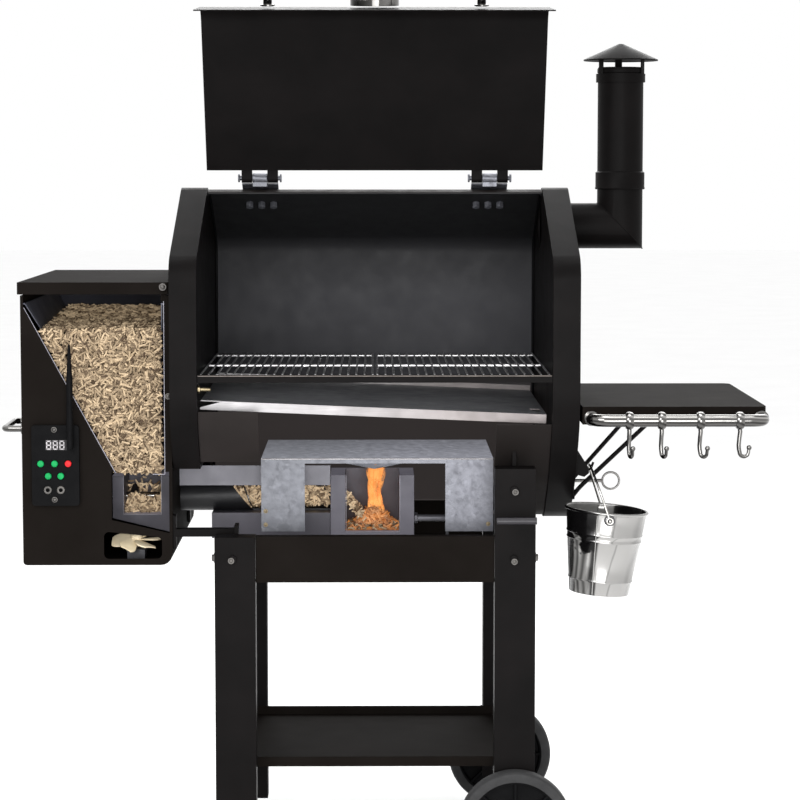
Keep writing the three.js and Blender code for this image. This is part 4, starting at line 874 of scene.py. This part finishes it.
def rounded_bar(start, end, radius, sides=32, bead=0.25):
    """Round bar between two points with softened ends."""
    start, end = Vector(start), Vector(end)
    length = (end - start).length
    r, soft = radius, radius * bead
    bar = lathe([(0, 0), (r - soft, 0), (r - soft * 0.3, soft * 0.3), (r, soft), (r, length - soft),
                 (r - soft * 0.3, length - soft * 0.3), (r - soft, length), (0, length)], sides)
    turn = Vector((0, 0, 1)).rotation_difference(end - start).to_matrix().to_4x4()
    return moved(bar, Matrix.Translation(start) @ turn)


def lid_fittings():
    y, z = -48, 862
    grip = [rounded_bar(at(-200, y, z), at(200, y, z), 0.011)]
    for x in (-165, 165):
        grip.append(rounded_bar(at(x, y, z), at(x, -0.6, z), 0.0068, 24))
        grip.append(rounded_bar(at(x, -4, z), at(x, -0.4, z), 0.0115, 28))
        grip.append(rounded_bar(at(x - 9, y, z), at(x + 9, y, z), 0.0122, 32, 0.12))
    grip = moved(merged(*grip), OPEN)
    piece("handle_bar", "lid", "chrome", grip, stands_for=["lid_handle"], slot="stainless")
    face = OPEN @ Matrix.Translation(at(0, -0.4, 900))
    face = face @ Matrix.Rotation(math.pi / 2, 4, "X") @ Matrix.Scale(MM, 4)
    bezel = [(0, 1), (33, 1), (33, 9.4), (34, 11), (36.4, 11.4), (38, 10), (38, 0.4), (36, 0), (0, 0)]
    piece("dial_bezel", "lid", "chrome", moved(lathe(bezel, 72), face), stands_for=["lid_thermometer"],
          slot="stainless", smooth=30)
    plate = lathe([(0, 7), (33, 7), (33, 6.2), (0, 6.2)], 64)
    piece("dial_plate", "lid", "dial", moved(plate, face), slot="stainless", smooth=30)
    ticks = []
    for k in range(25):
        half, start = (0.35, 26) if k % 4 else (0.6, 24)
        mark = block((-half, start, 7), (half, 31, 7.25))
        ticks.append(moved(mark, Matrix.Rotation(math.radians(132 - 11 * k), 4, "Z")))
    ticks.append(lathe([(31.6, 7), (32.1, 7.2), (32.6, 7), (31.6, 7)], 64))
    piece("dial_ticks", "lid", "ink", moved(merged(*ticks), face), slot="black")
    needle = [Vector((x, y, z)) for z in (8, 8.7) for x, y in ((-1, -7), (1, -7), (0.35, 25), (-0.35, 25))]
    hand = merged((needle, SLAB_FACES), lathe([(0, 9.6), (2.6, 9.3), (3, 8), (3, 7)], 24))
    piece("dial_hand", "lid", "needle",
          moved(moved(hand, Matrix.Rotation(math.radians(118), 4, "Z")), face), slot="red")


# ---- Shelf rail, hooks, side handle ----
def rods():
    x0, x1, y, z = 338, 603, RAIL_Y, RAIL_Z
    route = bent([at(x0, 4.4, z), at(x0, y, z), at(x1, y, z), at(x1, 4.4, z)], 0.024, 12)
    rail = [tube(route, 0.0095, 32)]
    for x in (x0, x1):
        rail.append(rounded_bar(at(x, 1.4, z), at(x, 4.5, z), 0.012, 32, 0.15))
    piece("rail_tube", "grill", "chrome", *rail, stands_for=["shelf_rail"], slot="chrome", smooth=40)
    sleeve = [(9.6, -6), (11.6, -6), (13.4, -3.6), (14.0, 0), (13.4, 3.6), (11.6, 6), (9.6, 6), (9.6, -6)]
    for k, (x, yaw) in enumerate(((393, 73), (443, 64), (503, 48), (564, 0)), 1):
        aside = Vector((math.cos(math.radians(yaw)), -math.sin(math.radians(yaw)), 0)) * MM
        clasp = placed(lathe_mm(sleeve, 40), at(x, y, z), math.pi / 2, "Y")
        drop = [at(x, y, z - 12.4), at(x, y, z - 17) + aside * 0.6, at(x, y, z - 27) + aside * -0.6,
                at(x, y, z - 38) + aside * -1.6, at(x, y, z - 44) + aside * -1.2, at(x, y, z - 49)]
        for i in range(1, 15):
            a = i / 14 * math.pi * 0.95
            drop.append(at(x, y, z - 49 - 6.8 * math.sin(a)) + aside * (6.8 - 6.8 * math.cos(a)))
        tip = drop[-1] + aside * 1.2 + Vector((0, 0, 0.008))
        ball = placed(lathe_mm([(4 * math.sin(a), -4 * math.cos(a)) for a in around(24)[:13]], 24), tip)
        wire = tube(drop + [tip], 0.0035, 16, end_radius=0.0026)
        piece(f"hook_{k}_wire", f"hook_{k}", "chrome", clasp, wire, ball,
              stands_for=[f"rail_hook_{k}"], slot="chrome", smooth=50)
    low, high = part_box("side_handle")
    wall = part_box("hopper_case")[0].x
    reach, top = low.x + 0.005, at(0, 0, 712).z
    front, back = low.y + 0.009, high.y - 0.009
    root = wall - 0.0005
    grab = bent([(root, front, top), (reach, front, top), (reach, back, top), (root, back, top)], 0.012, 10)
    rosettes = [rounded_bar((wall - 0.0032, foot, top), (wall - 0.0003, foot, top), 0.0088, 28, 0.2)
                for foot in (front, back)]
    piece("side_grab", "grill", "chrome", tube(grab, 0.005, 24), *rosettes,
          stands_for=["side_handle"], slot="chrome", smooth=40)


# ---- Ash gate: slide plate, rod and finger ring ----
def ash_gate():
    y, z = 250, 607
    ring = [at(391 + 14 * math.cos(a), y, z + 14 * math.sin(a)) for a in around(48)]
    rod = [rounded_bar(at(119, y, z), at(377.5, y, z), 0.003, 24), tube(ring, 0.0019, 14, closed=True)]
    plate = [block(at(-42, 225, 507.2), at(122, 275, 511), 0.0004),
             block(at(117.6, 243, 507.2), at(122, 257, 611), 0.0004)]
    piece("ash_ring_rod", "ash_gate", "rod", *rod, stands_for=["ash_gate_rod"], slot="galvanised")
    piece("ash_slide_plate", "ash_gate", "dark_steel", *plate, slot="galvanised")


# ---- Grease bucket and bail ----
def bucket():
    x, y, tilt, ear_z = 371, 110, 5, EAR_Z
    z0, z1, rim, base = 443, 580, 67.5, 48

    def side(z):
        return base + (rim - 2 - base) * (z - z0) / (z1 - z0)

    def bead(z):
        crest = side(z) + 0.9
        return [(side(z - 1.8), z - 1.8), (crest, z - 0.6), (crest, z + 0.6), (side(z + 1.8), z + 1.8)]

    def beside(sign, reach):
        """Point in front of (-1) or behind (1) the middle, at the height of the ears."""
        return at(x, y + sign * reach, ear_z)

    outside = [(0, z0 + 4), (base - 4.6, z0 + 4), (base - 3.6, z0 + 0.6), (base - 2.4, z0),
               (base - 0.4, z0 + 0.4), (base + 0.3, z0 + 2)]
    for z in (466, 531, 541):
        outside += bead(z)
    roll = [(rim - 2.2 + 2.2 * math.cos(a), z1 - 2.6 + 2.4 * math.sin(a)) for a in
            (math.radians(-120 + 30 * i) for i in range(11))]
    inside = [(side(z1 - 8) - 0.8, z1 - 8), (base - 1.2, z0 + 7), (base - 2.4, z0 + 5.8), (0, z0 + 5.6)]
    parts = [placed(lathe_mm(outside + roll + inside, 128), at(x, y, 0))]
    edge = side(ear_z)
    for sign in (-1, 1):
        parts.append(rounded_bar(beside(sign, edge - 2), beside(sign, edge + 2.6), 0.0088, 32, 0.2))
        parts.append(rounded_bar(beside(sign, edge), beside(sign, 75.2), 0.0024, 20, 0.4))
    angle = math.radians(252)
    seam = [at(x + (side(z) + 0.5) * math.cos(angle), y + (side(z) + 0.5) * math.sin(angle), z)
            for z in (z0 + 2, z1 - 6)]
    parts.append(tube(seam, 0.0011, 10))
    turn = swung(at(x, y, ear_z), tilt, "Y")
    piece("bucket_shell", "bucket", "bucket", moved(merged(*parts), turn), stands_for=["grease_bucket"],
          slot="stainless", smooth=40)
    shade = placed(lathe_mm([(6.4, -0.4), (8.6, -0.4), (8.6, 0.3), (6.4, 0.3), (6.4, -0.4)], 36),
                   beside(-1, edge + 2.8), math.pi / 2, "X")
    piece("bucket_ear_shade", "bucket", "dark_steel", moved(shade, turn), slot="stainless", smooth=40)
    hook_x, hook_z, reach = 344, 650, 71.5
    route = []
    for k in range(49):
        a = k / 48 * math.pi
        rise = math.sin(a) ** 0.8
        route.append(at(x + (hook_x - x) * rise, y - reach * math.cos(a), ear_z + (hook_z - ear_z) * rise))
    away = Vector((hook_x - x, 0, hook_z - ear_z)).normalized() * 0.0046
    route[0], route[-1] = route[0] + away, route[-1] + away
    wires = [tube(route, 0.0018, 14)]
    for sign in (-1, 1):
        eye = [at(x + 4.6 * math.cos(a), y + sign * reach, ear_z + 4.6 * math.sin(a))
               for a in around(28)]
        wires.append(tube(eye, 0.0018, 12, closed=True))
    piece("bail_wire", "bail", "stainless", *wires, stands_for=["bucket_bail"], slot="stainless",
          smooth=60)


# ---- Fan, antenna, buttons ----
def fan():
    centre = at(-383, 112, 530)
    lean = Matrix.Translation(centre) @ Matrix.Rotation(math.radians(15), 4, "X")
    blades = []
    for k in range(6):
        rows, cols = 9, 9
        points, faces = [], []
        for level in (0.9, -0.9):
            for i in range(rows):
                r = 6 + 33 * i / (rows - 1)
                half = 7 + 8 * math.sin(math.pi * min(1, i / (rows - 1) * 0.86) * 0.62)
                sweep = 6 * (i / (rows - 1)) ** 2
                for j in range(cols):
                    t = 2 * j / (cols - 1) - 1
                    pinch = math.sqrt(max(0.0, 1 - max(0, i - 5) ** 2 / 14))
                    across = t * half * pinch + sweep
                    lift = -across * math.tan(math.radians(30)) * (1 - 0.25 * i / rows) + 1.6 * (1 - t * t)
                    points.append(Vector((r * MM, across * MM, (lift * 0.62 + level) * MM)))
        n = rows * cols
        for i in range(rows - 1):
            for j in range(cols - 1):
                a = i * cols + j
                b = a + cols
                faces += [(a, b, b + 1, a + 1), (n + a, n + a + 1, n + b + 1, n + b)]
        rim = [i * cols for i in range(rows)] + [(rows - 1) * cols + j for j in range(1, cols)] \
            + [i * cols + cols - 1 for i in range(rows - 2, -1, -1)] + [j for j in range(cols - 2, 0, -1)]
        faces += [(a, n + a, n + b, b) for a, b in zip(rim, rim[1:] + rim[:1])]
        blades.append(moved((points, faces), lean @ Matrix.Rotation(k * math.pi / 3, 4, "Z")))
    hub = moved(lathe([(0, 0.0088), (0.006, 0.0086), (0.0084, 0.007), (0.009, 0.005), (0.009, -0.009),
                       (0.0031, -0.009), (0.0031, 0.005), (0, 0.005)], 40), lean)
    piece("fan_blades", "fan", "rotor", hub, *blades, stands_for=["fan_rotor"], slot="rotor", smooth=40)


def controls():
    face = at(0, PANEL_FACE, 0).y
    buttons = (("start", -527.6, 659, "green"), ("feed", -505.6, 659, "green"), ("stop", -484.3, 659, "red"),
               ("probe_left", -515.8, 639.4, "green"), ("probe_right", -496.1, 639.4, "green"))
    cap = lathe_mm([(0, -3.6), (3.4, -3.6), (4.6, -3.1), (5.2, -2), (5.2, 4.4), (0, 4.4)], 36)
    for name, x, z, finish in buttons:
        piece(f"{name}_cap", f"{name}_button", finish, placed(cap, on_plane(x, face, z), -math.pi / 2, "X"),
              stands_for=[f"button_{name}"], slot=finish, smooth=40)
    ring = lathe_mm([(5.4, 0), (6.6, 0), (6.6, 0.5), (5.8, 0.9), (5.4, 0)], 36)
    rings = [placed(ring, on_plane(x, face, z), math.pi / 2, "X") for _, x, z, _ in buttons]
    piece("button_rings", "grill", "plastic", *rings, slot="plastic", smooth=40)
    jack = lathe_mm([(3.2, -4), (3.2, 3.4), (4.2, 3.8), (5.8, 3.4), (6.6, 2), (6.6, 0.4), (3.2, -4)], 36)
    jacks = [placed(jack, on_plane(x, face, 617.4), math.pi / 2, "X") for x in (-516.6, -496.1)]
    piece("jack_collars", "grill", "screw", *jacks, slot="bright_steel", smooth=40)
    screws = [bolt_head(on_plane(-506, face - 0.0015, z), FORWARD, 0.0032, 0.0006, 20) for z in (713, 602)]
    piece("panel_screws", "grill", "screw", *screws, slot="bright_steel", smooth=40)
    glass = block(on_plane(-520, face - 0.0002, 680), on_plane(-486, face + 0.0012, 697), 0.0002)
    piece("display_window", "grill", "display", glass, slot="plastic")
    w, h, t = 8.0, 14.2, 1.8  # width, height and stroke of a digit
    segments = [(0, z, w, z + t) for z in (0, (h - t) / 2, h - t)]
    segments += [(x, bottom, x + t, top) for x in (0, w - t)
                 for bottom, top in ((0.5, h / 2 - 0.3), (h / 2 + 0.3, h - 0.5))]
    bars = [block(on_plane(x0 + left, face - 0.0005, 681.4 + bottom),
                  on_plane(x0 + right, face - 0.0001, 681.4 + top))
            for x0 in (-518.6, -508.2, -497.8) for left, bottom, right, top in segments]
    piece("display_digits", "grill", "lamp", *bars, slot="plastic")
    x, y, z, top = -480, 44, 688, 849
    whip = lathe([(0, z - 5), (4.6, z - 5), (5.5, z - 3.6), (5.5, z + 20), (5.0, z + 22), (5.0, z + 24),
                  (5.4, z + 26), (5.0, z + 108), (4.0, z + 118), (2.5, top - 8), (1.8, top - 2), (0, top)], 32)
    arm = rounded_bar(at(x, y, z), at(x, 51.5, z), 0.0044, 24)
    piece("antenna_whip", "antenna", "plastic", placed(whip, at(x, y, 0), scale=MM), arm,
          stands_for=["antenna"], slot="plastic", smooth=30)


# ---- Wheels ----
def mirrored(half):
    """Closed profile whose upper half mirrors the lower one."""
    return [*half, *((radius, -z) for radius, z in half[::-1]), half[0]]


def wheels():
    for name, body in (("wheel_front", "front_wheel"), ("wheel_rear", "rear_wheel")):
        low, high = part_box(name)
        centre, half = (low + high) / 2, (high.y - low.y) / 2 / MM
        outer = (high.z - low.z) / 2 / MM
        turn = Matrix.Translation(centre) @ Matrix.Rotation(math.pi / 2, 4, "X") @ Matrix.Scale(MM, 4)
        w = 16
        tyre = mirrored([(outer - 16, 1 - w), (outer - 10, -w), (outer - 3, 1 - w), (outer - 0.6, 4 - w),
                         (outer, 8 - w)])
        lugs = [moved(block((outer - 0.8, -1.6, side), (outer, 1.6, side + 7), 0.3),
                      Matrix.Rotation(2 * math.pi * (k + (side > 0) * 0.5) / 48, 4, "Z"))
                for k in range(48) for side in (-8.5, 1.5)]
        piece(f"{name}_tyre", body, "rubber", moved(merged(lathe(tyre, 96), *lugs), turn), stands_for=[name],
              slot="tyre", smooth=40)
        rim = mirrored([(6.4, 1 - w), (14, 1 - w), (17, 3 - w), (20, -3), (outer - 21, -4),
                        (outer - 19, 3 - w), (outer - 15.8, 2 - w)])
        rib = block((15, -2.2, 4 - w), (outer - 18, 2.2, w - 4), 0.8)
        ribs = [moved(rib, Matrix.Rotation(a, 4, "Z")) for a in around(8)]
        axle = rounded_bar((0, 0, -half + 0.2), (0, 0, half - 0.2), 6.2, 28, 0.2)
        piece(f"{name}_rim", body, "plastic", moved(merged(lathe(rim, 72), *ribs), turn),
              slot="plastic", smooth=30)
        piece(f"{name}_axle", body, "bright_steel", moved(axle, turn), slot="bright_steel", smooth=30)


chimney()
lid_fittings()
rods()
ash_gate()
bucket()
fan()
controls()
wheels()


# ---- Screws, rivets and bright cut edges ----
def screws():
    post_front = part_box("leg_frame_left")[0].y
    heads = [bolt_head(on_plane(x, post_front - 0.0002, z), FORWARD, 0.0036, 0.003, 20)
             for x, z in ((-225.7, 510.8), (219.7, 618.7), (218.6, 508.8))]
    heads += [bolt_head(at(side * 252.4, y, 512), (side, 0, 0), 0.0056, 0.0048)
              for side in (-1, 1) for y in (30, 460)]
    case_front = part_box("hopper_case")[0].y
    heads.append(bolt_head(on_plane(-333, case_front - 0.0002, 938), FORWARD, 0.0042, 0.0028, 20))
    heads.append(bolt_head(at(-326.6, 59.8, 765), FORWARD, 0.0036, 0.0024, 20))
    screen = block(at(-551, 534.4, 528), at(-474, 536.4, 604), 0.0003)
    piece("vent_screen", "grill", "plastic", screen, slot="black")
    piece("frame_screws", "grill", "screw", *heads, slot="bright_steel", smooth=40)
    baffle_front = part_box("heat_baffle")[0].y
    rivets = [bolt_head(on_plane(x, baffle_front - 0.0001, z), FORWARD, 0.0026, 0.0012, 16)
              for x, z in ((-176, 574), (-176, 552), (182, 553))]
    piece("baffle_rivets", "grill", "rivet", *rivets, slot="brass", smooth=40)


def strip(points, width):
    """Flat bright strip along a front-facing cut, given as (x, y, z) corners."""
    parts = []
    for a, b in zip(points, points[1:]):
        a, b = at(*a), at(*b)
        along = (b - a).normalized()
        side = Vector((along.z, 0, -along.x)) * width * 0.5
        back = Vector((0, 0.0012, 0))
        corners = [p + s + d for p in (a, b) for s in (side, -side) for d in (Vector(), back)]
        parts.append((corners, BOX_FACES))
    return merged(*parts)


def cut_edges():
    low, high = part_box("heat_baffle")
    front, top = low.y + 0.0004, high.z - 0.0008
    fold = tube([(low.x + 0.0006, front, top), (high.x - 0.0006, front, top)], 0.0013, 12)
    sides = [tube([(x, front, top), (x, high.y, top)], 0.0008, 8) for x in (low.x + 0.0005, high.x - 0.0005)]
    piece("baffle_fold", "grill", "bright_steel", fold, *sides, slot="galvanised", smooth=40)
    y = 61
    parts = [
        strip([(-552.6, y, 905), (-410.6, y, 643)], 0.0012),
        strip([(-332.6, y, 923), (-332.6, y, 641), (-352, y, 641)], 0.001),
        strip([(-47.6, 199.6, 622), (-47.6, 199.6, 529), (40.6, 199.6, 529), (40.6, 199.6, 622)], 0.0008),
        strip([(-412, 199.6, 622), (-412, 199.6, 558), (-350, 199.6, 558), (-350, 199.6, 622)], 0.0008),
    ]
    piece("edge_strips", "grill", "cut_edge", *parts, slot="bright_steel")
    # Thin light line along the front rail's top edge: a painted highlight.
    low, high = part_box("front_rail")
    front, top = low.y + 0.0002, high.z - 0.0006
    line = tube([(low.x + 0.001, front, top), (high.x - 0.001, front, top)], 0.0007, 8)
    piece("rail_line", "grill", "painted_edge_highlight", line, slot="bright_steel", smooth=60)
    fold_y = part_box("leg_frame_right")[0].y + 0.0036
    bead = tube([on_plane(x, fold_y, 578.6) for x in (189, 251)], 0.0055, 24)
    piece("post_bead", "grill", "bead", bead, slot="black", smooth=60)


def rope_seals():
    """Dark rope that closes the corner between the barrel sheet and each end cap."""
    shell = nodes["barrel_shell"]
    spots = [shell.matrix_world @ v.co for v in shell.data.vertices]
    axis = at(0, 250, 830)
    parts = []
    for side in (-1, 1):
        edge = side * max(side * p.x for p in spots)
        ring = {(round(p.y, 5), round(p.z, 5)) for p in spots if abs(p.x - edge) < 0.0003}
        reach = {q: math.hypot(q[0] - axis.y, q[1] - axis.z) for q in ring}
        inner = [q for q in ring
                 if not any(math.dist(q, o) < 0.004 and reach[o] < reach[q] - 0.001 for o in ring)]
        inner.sort(key=lambda q: (math.atan2(q[1] - axis.z, q[0] - axis.y) - 2.8) % (2 * math.pi))
        centre = Vector((edge - side * 0.0012, axis.y, axis.z))
        route = [Vector((centre.x, y, z)) for y, z in inner]
        parts.append(tube([p + (centre - p).normalized() * 0.0014 for p in route], 0.0024, 10))
    piece("rope_seals", "grill", "plastic", *parts, slot="black", smooth=60)


screws()
cut_edges()
rope_seals()


# ---- Floor ----
floor_mesh = bpy.data.meshes.new("floor")
floor_mesh.from_pydata([(-30, -30, 0), (30, -30, 0), (30, 30, 0), (-30, 30, 0)], [], [(0, 1, 2, 3)])
floor = bpy.data.objects.new("floor", floor_mesh)
floor_paint = paint("floor_paint", (250, 250, 250), (254, 254, 254), (0.8, 0.9), 0, 3, bump=0.0)
floor_mesh.materials.append(floor_paint)
bpy.context.scene.collection.objects.link(floor)
